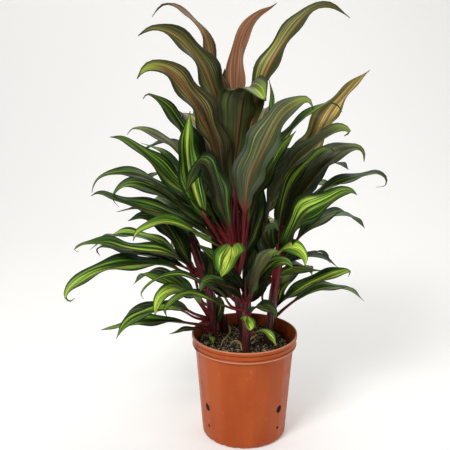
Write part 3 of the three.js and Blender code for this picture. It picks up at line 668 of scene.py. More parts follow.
@dataclass(frozen=True)
class Viewpoint:
    """Where the photograph was taken from, and how its picture points lie in space."""

    eye: Place = (-47.0, -1700.0, 967.0)
    pitch_degrees: float = 14.6
    focal: float = 755.0
    middle: float = 225.0
    picture: float = 450.0

    @property
    def ahead(self) -> np.ndarray:
        """Give the direction that the eye looks in."""
        pitch = math.radians(self.pitch_degrees)
        return np.array([0.0, math.cos(pitch), -math.sin(pitch)])

    @property
    def above(self) -> np.ndarray:
        """Give the direction that points up in the picture."""
        pitch = math.radians(self.pitch_degrees)
        return np.array([0.0, math.sin(pitch), math.cos(pitch)])

    def spot(self, point: Point, depth: float) -> np.ndarray:
        """Find the place that shows at a picture point.

        Args:
            point: Picture point, across and down.
            depth: The Y of the place, in millimetres.

        Returns:
            The place in millimetres.
        """
        right = (point[0] - self.middle) / self.focal
        up = (self.middle - point[1]) / self.focal
        ray = self.ahead + right * np.array([1.0, 0.0, 0.0]) + up * self.above
        return np.array(self.eye) + ray * (depth - self.eye[1]) / ray[1]

    def pictured(self, place: np.ndarray) -> Point:
        """Find where a place shows in the picture.

        Args:
            place: The place in millimetres.

        Returns:
            Its picture point.
        """
        off = place - np.array(self.eye)
        far = off @ self.ahead
        return (self.middle + self.focal * off[0] / far, self.middle - self.focal * (off @ self.above) / far)


VIEW = Viewpoint()


def even_points(points: list[np.ndarray], steps: int) -> tuple[np.ndarray, float]:
    """Sample a centripetal curve through the points at even steps.

    Args:
        points: The points that the curve passes.
        steps: How many steps it is cut into.

    Returns:
        The samples, and the curve's length.
    """
    samples, least = 40, 1e-9
    hooks = [2 * points[0] - points[1], *points, 2 * points[-1] - points[-2]]
    share = np.linspace(0, 1, samples, endpoint=False)[:, None]
    cube, square = share**3, share**2
    dense = []
    for before, start, end, after in zip(hooks, hooks[1:], hooks[2:], hooks[3:]):
        sides = ((before, start), (start, end), (end, after))
        first, span, last = (max(np.linalg.norm(b - a), least) ** 0.5 for a, b in sides)
        leave = (start - before) / first - (end - before) / (first + span) + (end - start) / span
        arrive = (end - start) / span - (after - start) / (span + last) + (after - end) / last
        dense.append(
            (2 * cube - 3 * square + 1) * start
            + (cube - 2 * square + share) * leave * span
            + (3 * square - 2 * cube) * end
            + (cube - square) * arrive * span
        )
    line = np.vstack([*dense, points[-1][None]])
    run = np.concatenate([[0], np.cumsum(np.linalg.norm(np.diff(line, axis=0), axis=1))])
    return resampled(np.linspace(0, run[-1], steps + 1), run, line), run[-1]


def resampled(wanted: np.ndarray, run: np.ndarray, rows: np.ndarray) -> np.ndarray:
    """Read rows of three numbers at other stations.

    Args:
        wanted: The stations that are asked for.
        run: The station of each row.
        rows: The rows.

    Returns:
        One row for each station asked for.
    """
    return np.stack([np.interp(wanted, run, rows[:, k]) for k in range(3)], 1)


@dataclass(frozen=True)
class Cane:
    """One cane: its node and its centre line from the foot in the soil to the crown, in millimetres."""

    node: str
    line: tuple[Place, ...]
    foot_radius: float = 10.0
    crown_radius: float = 8.0

    def at(self, height: float) -> np.ndarray:
        """Find the point of the centre line at a height in millimetres."""
        line = np.array(self.line)
        return resampled(np.array([height]), line[:, 2], line)[0]


@dataclass(frozen=True)
class LeafShape:
    """The cross section, outline and waves that all leaves share, in millimetres and shares of length."""

    stalk_half_width: float = 5.0
    stalk_flare: float = 3.0
    flare_end: float = 0.8
    blade_open: float = 0.14
    stalk_depth: float = 3.4
    channel_share: float = 0.35
    rib_depth: float = 1.3
    rib_half: float = 2.2
    skin: float = 0.32
    sharpness: float = 2.05
    tip_share: float = 0.3
    tip_width_share: float = 0.15
    fold_degrees: float = 20.0
    shoulder: float = 1.5
    wave_length: float = 150.0
    least_waves: float = 1.5
    wave_height_share: float = 0.1
    wave_sharpness: float = 1.3
    wave_step_per_leaf: float = 2.4
    wave_step_per_side: float = 1.9
    turn_start: float = 0.06
    turn_share: float = 0.3
    twist_start: float = 0.6
    attitude_share: float = 0.6
    along: int = 56
    across: tuple[float, ...] = (0.0, 0.05, 0.12, 0.24, 0.4, 0.58, 0.76, 0.9, 0.97, 1.0)

    def half_width(self, share: np.ndarray, width: float, fullest: float, stalk: float) -> np.ndarray:
        """Give the leaf's half width along it.

        Args:
            share: Shares of the length.
            width: The blade's full width.
            fullest: Share of the blade at which it is widest.
            stalk: Share of the length that is stalk.

        Returns:
            The half width at each share.
        """
        out = np.clip((share - stalk) / (1 - stalk), 0, 1)
        rise, fall = self.sharpness * fullest, self.sharpness * (1 - fullest)
        most = fullest**rise * (1 - fullest) ** fall
        blade = width / 2 * out**rise * (1 - out) ** fall / most
        flare = self.stalk_flare * np.clip(1 - share / (self.flare_end * stalk), 0, 1)
        tip = np.clip((1 - share) / self.tip_share, self.tip_width_share, 1)
        return np.maximum(blade, (self.stalk_half_width + flare) * tip)

    def frames(self, points: np.ndarray) -> tuple[np.ndarray, np.ndarray]:
        """Give the level side direction and the face direction along a rib.

        Args:
            points: The rib's points.

        Returns:
            Side directions and face directions.
        """
        forward = np.gradient(points, axis=0)
        forward /= np.linalg.norm(forward, axis=1)[:, None]
        heading = points[-1] - points[0]
        level = np.array([-heading[1], heading[0], 0.0]) / math.hypot(heading[0], heading[1])
        side = level - (forward @ level)[:, None] * forward
        side /= np.linalg.norm(side, axis=1)[:, None]
        return side, np.cross(forward, side)

    def turn_facing(self, point: np.ndarray, side: np.ndarray, face: np.ndarray, facing: float) -> float:
        """Find the turn about the rib that leaves the upper face a given angle away from the eye.

        Args:
            point: A point of the rib.
            side: The side direction there.
            face: The face direction there.
            facing: The angle in degrees.

        Returns:
            The turn in radians, the smaller of the two that do.
        """
        sight = point - np.array(VIEW.eye)
        full = math.pi - math.atan2(side @ sight, face @ sight)
        turns = [math.remainder(full + sign * math.radians(facing), 2 * math.pi) for sign in (1, -1)]
        return min(turns, key=abs)


SHAPE = LeafShape()


@dataclass(frozen=True)
class Leaf:
    """What every leaf states: its name, its colour and the height on the cane where its stalk leaves it."""

    name: str
    tone: Tone
    root: float
    twist: float = field(default=0.0, kw_only=True)
    fullest: float = field(default=0.44, kw_only=True)
    stalk: float = field(default=0.24, kw_only=True)

    def rib(self, cane: Cane) -> list[np.ndarray]:
        """Give the points that the rib passes, from the cane to the tip."""
        raise NotImplementedError

    def turn(self, points: np.ndarray, side: np.ndarray, face: np.ndarray) -> float:
        """Give the blade's turn about its rib in radians, which is none unless a kind of leaf says so."""
        return 0.0


@dataclass(frozen=True)
class DrawnLeaf(Leaf):
    """A leaf drawn from the photograph's view, by picture points along its rib and the Y of its tip."""

    depth: float
    width: float
    facing: float
    points: tuple[Point, ...]
    bend: Point = field(default=(1.0, 0.0), kw_only=True)

    def rib(self, cane: Cane) -> list[np.ndarray]:
        """Give the points that the rib passes, its depth going evenly to any fold and on to the tip.

        Args:
            cane: The cane that the leaf grows from.

        Returns:
            Points in millimetres, from the cane to the tip.
        """
        start = cane.at(self.root)
        flat = np.array([VIEW.pictured(start), *self.points])
        run = np.concatenate([[0], np.cumsum(np.linalg.norm(np.diff(flat, axis=0), axis=1))])
        fold, fold_depth = self.bend if self.bend[0] < 1 else (0.5, (start[1] + self.depth) / 2)
        depths = np.interp(run / run[-1], (0, fold, 1), (start[1], fold_depth, self.depth))
        return [start, *(VIEW.spot(point, depth) for point, depth in zip(self.points, depths[1:]))]

    def turn(self, points: np.ndarray, side: np.ndarray, face: np.ndarray) -> float:
        """Give the turn in radians that leaves the upper face at its angle to the eye."""
        at = round(SHAPE.attitude_share * (len(points) - 1))
        return SHAPE.turn_facing(points[at], side[at], face[at], self.facing)


@dataclass(frozen=True)
class GrownLeaf(Leaf):
    """A leaf that the photograph hides, by its azimuth (0 to the front, 90 to the right) and its bow."""

    azimuth: float
    rise: float
    fall: float
    length: float
    width: float

    def rib(self, cane: Cane) -> list[np.ndarray]:
        """Give the points of a rib that leaves at the rise angle and bows over to the fall angle.

        Args:
            cane: The cane that the leaf grows from.

        Returns:
            Points in millimetres, from the cane to the tip.
        """
        steps, bow = 10, 1.6
        azimuth = math.radians(self.azimuth)
        point = cane.at(self.root)
        points = [point.copy()]
        for i in range(steps):
            angle = math.radians(self.rise - (self.rise + self.fall) * ((i + 0.5) / steps) ** bow)
            level, up = self.length / steps * math.cos(angle), self.length / steps * math.sin(angle)
            point += (level * math.sin(azimuth), -level * math.cos(azimuth), up)
            if i % 2 == 1:
                points.append(point.copy())
        return points


@dataclass
class LeafyStem:
    """One leafy stem: a cane clasped by the bases of its stalks, and its leaves."""

    cane: Cane
    leaves: list[Leaf]
    finishes: dict[Tone, bpy.types.Material]
    skin: bpy.types.Material
    core_share: float = 0.72
    clasp_spacing: float = 7.0
    clasp_length: float = 74.0
    clasp_width: float = 10.0
    clasp_depth: float = 5.0
    rib_steps: int = 100
    first_seed: float = 1.0
    seed_per_letter: float = 0.37
    slot: str = "foliage"

    def build(self) -> list[Piece]:
        """Build the cane and every leaf, and seat them on the stem's node.

        Returns:
            The pieces.
        """
        pieces = self.build_cane() + [self.build_leaf(leaf, place) for place, leaf in enumerate(self.leaves)]
        for piece in pieces:
            seat(piece, self.cane.node)
        return pieces

    def build_leaf(self, leaf: Leaf, place: int) -> Piece:
        """Build one leaf as a closed skin over its rib.

        Args:
            leaf: The leaf's row.
            place: Its number on this cane, which shifts its waves.

        Returns:
            The leaf.
        """
        points, length = even_points(leaf.rib(self.cane), self.rib_steps)
        side, face = SHAPE.frames(points)
        steps = np.linspace(0, 1, self.rib_steps + 1)
        angle = leaf.turn(points, side, face) * np.clip((steps - SHAPE.turn_start) / SHAPE.turn_share, 0, 1)
        twisted = np.clip((steps - SHAPE.twist_start) / (1 - SHAPE.twist_start), 0, 1)
        angle = (angle + math.radians(leaf.twist) * twisted)[:, None]
        left = side * np.cos(angle) + face * np.sin(angle)
        up = face * np.cos(angle) - side * np.sin(angle)

        share = np.linspace(0, 1, SHAPE.along + 1)
        points, left, up = (resampled(share, steps, rows) for rows in (points, left, up))
        half = SHAPE.half_width(share, leaf.width, leaf.fullest, leaf.stalk)[:, None]
        blade = (share - leaf.stalk) / (1 - leaf.stalk)
        out = np.clip(blade, 0, 1)[:, None]
        flare_end = SHAPE.flare_end * leaf.stalk
        opened = np.clip((share - flare_end) / (leaf.stalk + SHAPE.blade_open - flare_end), 0, 1)[:, None]
        fold = math.radians(SHAPE.fold_degrees)
        waves = max(SHAPE.least_waves, length / SHAPE.wave_length)
        swell = SHAPE.wave_height_share * leaf.width * np.sin(math.pi * out)
        across = np.array([*(-a for a in reversed(SHAPE.across[1:])), *SHAPE.across])
        off = np.abs(across)[None, :]
        per_side = np.where(across > 0, 0.0, SHAPE.wave_step_per_side)
        shift = per_side[None, :] + SHAPE.wave_step_per_leaf * place
        ripple = swell * np.sin(2 * math.pi * waves * out + shift) * off**SHAPE.wave_sharpness
        lift = half * math.sin(fold) * (0.5 - (1 - off) ** SHAPE.shoulder) + ripple

        # The stalk is a channelled rod and the blade a thin skin with a rib beneath it
        rod = SHAPE.stalk_depth * np.sqrt(np.clip(1 - off**2, 0.02, 1))
        rib = SHAPE.rib_depth * np.exp(-((off * half / SHAPE.rib_half) ** 2)) * (1 - share[:, None] ** 3)
        below = rod * (1 - opened) + (SHAPE.skin + rib) * opened
        above = SHAPE.channel_share * rod * (1 - opened) + SHAPE.skin * opened
        base = points[:, None] + left[:, None] * (across * half * math.cos(fold))[..., None]
        top = base + up[:, None] * (lift + above)[..., None]
        bottom = base + up[:, None] * (lift - below)[..., None]

        rows, columns = top.shape[:2]
        ring = np.concatenate([top, bottom[:, ::-1]], axis=1)
        around = ring.shape[1]
        first, step = np.arange(rows - 1)[:, None] * around, np.arange(around)
        corners = [first + step, first + around + step, first + around + (step + 1) % around]
        faces = np.stack([c.ravel() for c in (*corners, first + (step + 1) % around)], 1).tolist()
        for start, turn in ((0, 1), ((rows - 1) * around, -1)):
            for k in range(columns - 1):
                cap = [start + k, start + k + 1, start + around - 2 - k, start + around - 1 - k]
                faces.append(cap[::turn])
        piece = mesh_piece(f"leaf_{leaf.name}", ring.reshape(-1, 3), faces, self.finishes[leaf.tone])
        seed = self.first_seed + place + self.seed_per_letter * len(leaf.name)
        read = np.broadcast_arrays(np.concatenate([across, across[::-1]]), blade[:, None], seed)
        store(piece, "leaf_place", np.stack(read, -1).reshape(-1, 3))
        store(piece, "leaf_half_mm", np.repeat(half, around))
        store(piece, "leaf_upper", np.tile(np.repeat((1.0, 0.0), columns), rows))
        return piece

    def build_cane(self) -> list[Piece]:
        """Build the cane as a tapered rod, and the stalk bases that clasp it all the way up.

        Returns:
            The two pieces.
        """
        places = [np.array(p, float) for p in self.cane.line]
        radii = np.array([self.cane.foot_radius, self.cane.crown_radius])
        foot, crown = self.core_share * radii * MM
        core = run_tree(
            line_piece(f"{self.cane.node}_core", places), rod_tree(),
            foot_radius=foot, crown_radius=crown, material=self.skin,
        )
        foot, crown = (radii - self.clasp_depth / 2) * MM
        clasps = run_tree(
            line_piece(f"{self.cane.node}_clasps", places), clasp_tree(),
            foot_radius=foot, crown_radius=crown, spacing=self.clasp_spacing * MM,
            length=self.clasp_length * MM, width=self.clasp_width * MM, depth=self.clasp_depth * MM,
            material=self.skin,
        )
        return [core, clasps]


def line_piece(name: str, places: list[np.ndarray]) -> Piece:
    """Make a curve object along places.

    Args:
        name: The object's name.
        places: Places in millimetres that the curve passes.

    Returns:
        The curve object, linked to the scene.
    """
    steps = 24
    curve = bpy.data.curves.new(name, "CURVE")
    curve.dimensions = "3D"
    points, _ = even_points(places, steps)
    spline = curve.splines.new("POLY")
    spline.points.add(steps)
    spline.points.foreach_set("co", np.hstack([points * MM, np.ones((steps + 1, 1))]).ravel())
    return linked(name, curve)


@functools.cache
def rod_tree() -> Tree:
    """Build the tree that turns a centre line into a tapered round rod.

    Returns:
        The tree, made once and then shared.
    """
    step, sides = 4 * MM, 16
    tree, asked = new_tree("Tapered Rod", foot_radius="Float", crown_radius="Float")
    add = functools.partial(add_node, tree)
    fine = add("GeometryNodeResampleCurve", {"Curve": asked["geometry"], "Length": step}, mode="LENGTH")
    run = add("GeometryNodeSplineParameter").outputs["Factor"]
    radius = add("ShaderNodeMapRange", (run, 0.0, 1.0, asked["foot_radius"], asked["crown_radius"]))
    circle = add("GeometryNodeCurvePrimitiveCircle", {"Resolution": sides, "Radius": 1.0}, mode="RADIUS")
    rod = add("GeometryNodeCurveToMesh", {
        "Curve": fine, "Profile Curve": circle, "Scale": radius, "Fill Caps": True,
    })
    return end_tree(tree, rod, asked["material"])


@functools.cache
def clasp_tree() -> Tree:
    """Build the tree that sets flat, spindle shaped stalk bases round a centre line, a golden angle apart.

    Returns:
        The tree, made once and then shared.
    """
    golden_angle, sides, lengths, bow = 2.399963, 10, 10, 2.9
    tree, asked = new_tree("Clasping Stalk Bases", **dict.fromkeys(
        ("foot_radius", "crown_radius", "spacing", "length", "width", "depth"), "Float"
    ))
    add = functools.partial(add_node, tree)

    # One spindle along +Z, as a rod of radius 1 that is flattened and narrowed to both ends
    rod = add("GeometryNodeMeshCylinder", {
        "Vertices": sides, "Side Segments": lengths, "Radius": 1.0, "Depth": asked["length"],
    })
    x, y, z = add("ShaderNodeSeparateXYZ", (add("GeometryNodeInputPosition"),)).outputs
    run = add("ShaderNodeMath", (z, asked["length"]), operation="DIVIDE")
    narrowed = add("ShaderNodeMath", (product(tree, run, bow),), operation="COSINE")
    deep, wide = (product(tree, at, asked[size], 0.5, narrowed) for at, size in ((x, "depth"), (y, "width")))
    kept = add("GeometryNodeStoreNamedAttribute", {
        "Geometry": rod, "Name": "stalk_place", "Value": add("ShaderNodeCombineXYZ", (y, run, 0.0)),
    }, data_type="FLOAT_VECTOR", domain="POINT")
    spindle_at = add("ShaderNodeCombineXYZ", (deep, wide, z))
    spindle = add("GeometryNodeSetPosition", {"Geometry": kept, "Position": spindle_at})
    smooth = add("GeometryNodeSetShadeSmooth", {"Geometry": spindle})

    # The spindles stand along the cane, each turned on from the last, at the cane's own radius
    steps = add(
        "GeometryNodeResampleCurve", {"Curve": asked["geometry"], "Length": asked["spacing"]}, mode="LENGTH"
    )
    factor = add("GeometryNodeSplineParameter").outputs["Factor"]
    radius = add("ShaderNodeMapRange", (factor, 0.0, 1.0, asked["foot_radius"], asked["crown_radius"]))
    tangent = add("GeometryNodeInputTangent")
    upright = add("FunctionNodeAlignRotationToVector", {"Vector": tangent}, axis="Z")
    turn = product(tree, add("GeometryNodeInputIndex"), golden_angle)
    spin = add("FunctionNodeAxisAngleToRotation", {"Axis": (0.0, 0.0, 1.0), "Angle": turn})
    stood = add(
        "FunctionNodeRotateRotation", {"Rotation": upright, "Rotate By": spin}, rotation_space="LOCAL"
    )
    stands = add("GeometryNodeInstanceOnPoints", {"Points": steps, "Instance": smooth, "Rotation": stood})
    outwards = add("ShaderNodeCombineXYZ", {0: radius, 2: product(tree, asked["length"], 0.5)})
    set_out = add(
        "GeometryNodeTranslateInstances", {"Instances": stands, "Translation": outwards, "Local Space": True}
    )
    return end_tree(tree, set_out, asked["material"])


def rounded(corners: list[Place], longest: float) -> np.ndarray:
    """Round the corners of an open outline and cut its long sides.

    Args:
        corners: Across, up and corner radius of each corner.
        longest: The longest side left uncut.

    Returns:
        One row of across and up for each point.
    """
    most_of_side, corner_steps = 0.45, 4
    path = [np.array(corners[0][:2])]
    for before, here, after in zip(corners, corners[1:], corners[2:]):
        at = np.array(here[:2])
        back, on = np.array(before[:2]) - at, np.array(after[:2]) - at
        reach = min(here[2], most_of_side * np.linalg.norm(back), most_of_side * np.linalg.norm(on))
        start = at + back / np.linalg.norm(back) * reach
        end = at + on / np.linalg.norm(on) * reach
        shares = np.linspace(0, 1, corner_steps + 1)
        path += [(1 - s) ** 2 * start + 2 * s * (1 - s) * at + s**2 * end for s in shares]
    path.append(np.array(corners[-1][:2]))
    points = [path[0]]
    for point in path[1:]:
        start = points[-1]
        cuts = max(1, math.ceil(np.linalg.norm(point - start) / longest))
        points += [start + (point - start) * (k + 1) / cuts for k in range(cuts)]
    return np.array(points)


def tube_faces(rows: int, around: int, start: int = 0) -> list[list[int]]:
    """Join rings of points into a tube with flat ends.

    Args:
        rows: How many rings there are.
        around: How many points each has, turning left as seen from above.
        start: The number of the first point.

    Returns:
        The faces, pointing outwards.
    """
    first = start + np.arange(rows - 1)[:, None] * around
    step, following = np.arange(around), (np.arange(around) + 1) % around
    corners = [first + step, first + following, first + around + following, first + around + step]
    ends = [(start + step[::-1]).tolist(), (start + (rows - 1) * around + step).tolist()]
    return np.stack([c.ravel() for c in corners], 1).tolist() + ends


def turned(section: np.ndarray, around: int) -> np.ndarray:
    """Turn an open section about the upright axis.

    Args:
        section: Radius and height of each point, from the lower middle round the outside to the upper middle.
        around: How many steps there are round the axis.

    Returns:
        The points, ring by ring.
    """
    angle = np.linspace(0, 2 * math.pi, around, endpoint=False)
    radius, height = section[:, :1], section[:, 1:]
    rings = np.broadcast_arrays(radius * np.sin(angle), -radius * np.cos(angle), height)
    return np.stack(rings, -1).reshape(-1, 3)


@dataclass
class NurseryPot:
    """A moulded nursery pot: banded rim, bead, flat panelled wall, notched foot and drain holes."""

    finish: bpy.types.Material
    height: float = 258.0
    rim_radius: float = 127.0
    lip_thickness: float = 3.4
    lip_band: float = 10.0
    second_band: float = 11.0
    bead: float = 10.0
    groove: float = 3.6
    second_step: float = 1.8
    shoulder_radius: float = 119.0
    base_radius: float = 102.0
    base_corner: float = 9.0
    wall: float = 2.6
    floor: float = 3.4
    middle: float = 4.0
    longest_side: float = 8.0
    panels: int = 18
    panel_depth: float = 1.3
    panel_fade_low: float = 6.0
    panel_fade_high: float = 9.0
    foot_notch: float = 4.5
    foot_edge: Point = (88.0, 97.0)
    hole_azimuths: tuple[float, ...] = (49.0, 177.0, -55.0)
    holes: tuple[Place, ...] = ((90.0, 18.0, 20.0), (40.0, 8.0, 8.0))
    hole_sides: int = 28
    hole_reach: Point = (-10.0, 20.0)
    floor_holes: int = 6
    floor_hole_radius: float = 6.0
    floor_hole_ring: float = 62.0
    floor_hole_spare: float = 2.0
    around: int = 360
    node: str = "pot"
    slot: str = "pot_plastic"

    @property
    def shoulder(self) -> float:
        """Give the height where the wall ends under the bead."""
        return self.height - self.lip_band - self.second_band - self.bead

    def outline(self) -> tuple[list[Place], list[Place]]:
        """Give the section outside and inside, as radius, height and corner radius.

        Returns:
            The outside from under the floor up to the lip, and the inside from the lip down to the floor.
        """
        band_foot = self.shoulder + self.bead
        lip_foot = band_foot + self.second_band
        lip = self.rim_radius - self.lip_thickness
        grooved, second = self.rim_radius - self.groove, self.rim_radius - self.second_step
        outside = [
            (self.middle, 0.0, 0.0),
            (self.base_radius, 0.0, self.base_corner),
            (self.shoulder_radius, self.shoulder, 1.5),
            (grooved, self.shoulder + 0.8, 1.0),
            (self.rim_radius - 0.4, self.shoulder + self.bead / 2, 3.0),
            (grooved, band_foot - 0.6, 0.8),
            (second, band_foot + 1.4, 0.8),
            (second, lip_foot - 1.6, 0.8),
            (grooved, lip_foot - 0.4, 0.7),
            (self.rim_radius, lip_foot + 1.6, 0.8),
            (self.rim_radius, self.height, 1.4),
            (lip, self.height, 0.0),
        ]
        inside = [
            (lip, self.height, 0.0),
            (lip - 0.3, self.height - 2.0, 1.0),
            (self.shoulder_radius - self.wall, self.shoulder, 3.0),
            (self.base_radius - self.wall, self.floor, 4.0),
            (self.middle, self.floor, 0.0),
        ]
        return outside, inside

    def build(self) -> Piece:
        """Build the pot, panel its wall, cut its holes and seat it.

        Returns:
            The pot.
        """
        outside, inside = (rounded(part, self.longest_side) for part in self.outline())
        section = np.vstack([outside, inside[1:]])
        faces = tube_faces(len(section), self.around)
        pot = mesh_piece("pot_shell", turned(section, self.around), faces, self.finish)
        within = np.arange(len(section)) >= len(outside)
        store(pot, "pot_inside", np.repeat(within, self.around))
        pot = run_tree(
            pot, panel_tree(), panels=float(self.panels), depth=self.panel_depth * MM,
            bottom=self.base_corner * MM, fade_low=(self.base_corner + self.panel_fade_low) * MM,
            fade_high=(self.shoulder - self.panel_fade_high) * MM, top=self.shoulder * MM,
            foot_inner=self.foot_edge[0] * MM, foot_outer=self.foot_edge[1] * MM, notch=self.foot_notch * MM,
            material=self.finish,
        )
        cutter = self.hole_cutter()
        cut = pot.modifiers.new("holes", "BOOLEAN")
        cut.object = cutter
        cut.solver = "EXACT"
        pot = applied(pot)
        bpy.data.objects.remove(cutter)
        seat(pot, self.node)
        return pot

    def hole_cutter(self) -> Piece:
        """Make one object of upright ovals through the wall and round rods through the floor.

        Returns:
            The cutter.
        """
        angle = np.linspace(0, 2 * math.pi, self.hole_sides, endpoint=False)
        circle = np.stack([np.cos(angle), np.sin(angle)], 1)
        up = np.array([0.0, 0.0, 1.0])
        rings = []
        for azimuth in np.radians(self.hole_azimuths):
            out = np.array([math.sin(azimuth), -math.cos(azimuth), 0.0])
            aside = np.array([math.cos(azimuth), math.sin(azimuth), 0.0])
            for height, wide, high in self.holes:
                oval = circle[:, :1] * aside * wide / 2 + circle[:, 1:] * up * high / 2 + up * height
                rings += [oval + out * (self.base_radius + reach) for reach in self.hole_reach]
        for turn in np.arange(self.floor_holes) * 2 * math.pi / self.floor_holes:
            disc = np.hstack([circle * self.floor_hole_radius, np.zeros((self.hole_sides, 1))])
            disc = disc + self.floor_hole_ring * np.array([math.sin(turn), -math.cos(turn), 0.0])
            rings += [disc - up * self.floor_hole_spare, disc + up * (self.floor + self.floor_hole_spare)]
        faces = []
        for k in range(0, len(rings), 2):
            faces += tube_faces(2, self.hole_sides, k * self.hole_sides)
        return mesh_piece("drain_hole_cutter", np.vstack(rings), faces, self.finish)


def panel_tree() -> Tree:
    """Build the tree that flattens a turned wall into panels and notches its foot between them.

    Returns:
        The tree.
    """
    tree, asked = new_tree("Panelled Pot Wall", **dict.fromkeys((
        "panels", "depth", "bottom", "fade_low", "fade_high", "top", "foot_inner", "foot_outer", "notch"
    ), "Float"))
    add = functools.partial(add_node, tree)
    place = add("GeometryNodeInputPosition")
    x, y, height = add("ShaderNodeSeparateXYZ", (place,)).outputs
    azimuth = add("ShaderNodeMath", (x, y), operation="ARCTAN2")
    swing = add("ShaderNodeMath", (product(tree, azimuth, asked["panels"], 0.5),), operation="COSINE")
    flat = add("ShaderNodeMath", (swing,), operation="ABSOLUTE")
    within = add("GeometryNodeInputNamedAttribute", {"Name": "pot_inside"}, data_type="FLOAT")
    outer = (within, 0.0, 1.0, 1.0, 0.0)

    # The panels fade out over the foot's round corner and under the bead
    fades = ((height, 0.0, asked["fade_low"], 0.0, 1.0, EASED),
             (height, asked["top"], asked["fade_high"], 0.0, 1.0, EASED))
    pressed = product(tree, flat, asked["depth"], *fades, outer, -1.0)
    level = add("ShaderNodeVectorMath", (place, LEVEL), operation="MULTIPLY")
    radial = add("ShaderNodeVectorMath", (level,), operation="NORMALIZE")
    moved = add("ShaderNodeVectorMath", (radial, pressed), operation="SCALE")

    # Between the feet the edge is lifted, most at the panels' joints
    radius = add("ShaderNodeVectorMath", (level,), operation="LENGTH")
    lifted = product(
        tree, (radius, asked["foot_inner"], asked["foot_outer"]), (height, asked["bottom"], 0.0),
        (flat, 0.5, 0.3, 0.0, 1.0, EASED), outer, asked["notch"],
    )
    rise = add("ShaderNodeCombineXYZ", {2: lifted})
    offset = add("ShaderNodeVectorMath", (moved, rise), operation="ADD")
    shaped = add("GeometryNodeSetPosition", {"Geometry": asked["geometry"], "Offset": offset})
    return end_tree(tree, shaped, asked["material"])


@dataclass(frozen=True)
class Scatter:
    """One kind of loose matter on the soil: how much, how big and how it lies."""

    name: str
    finish: LooseMatter
    count: int
    smallest: Place
    largest: Place
    tilt: float
    sink: float
    seed: int


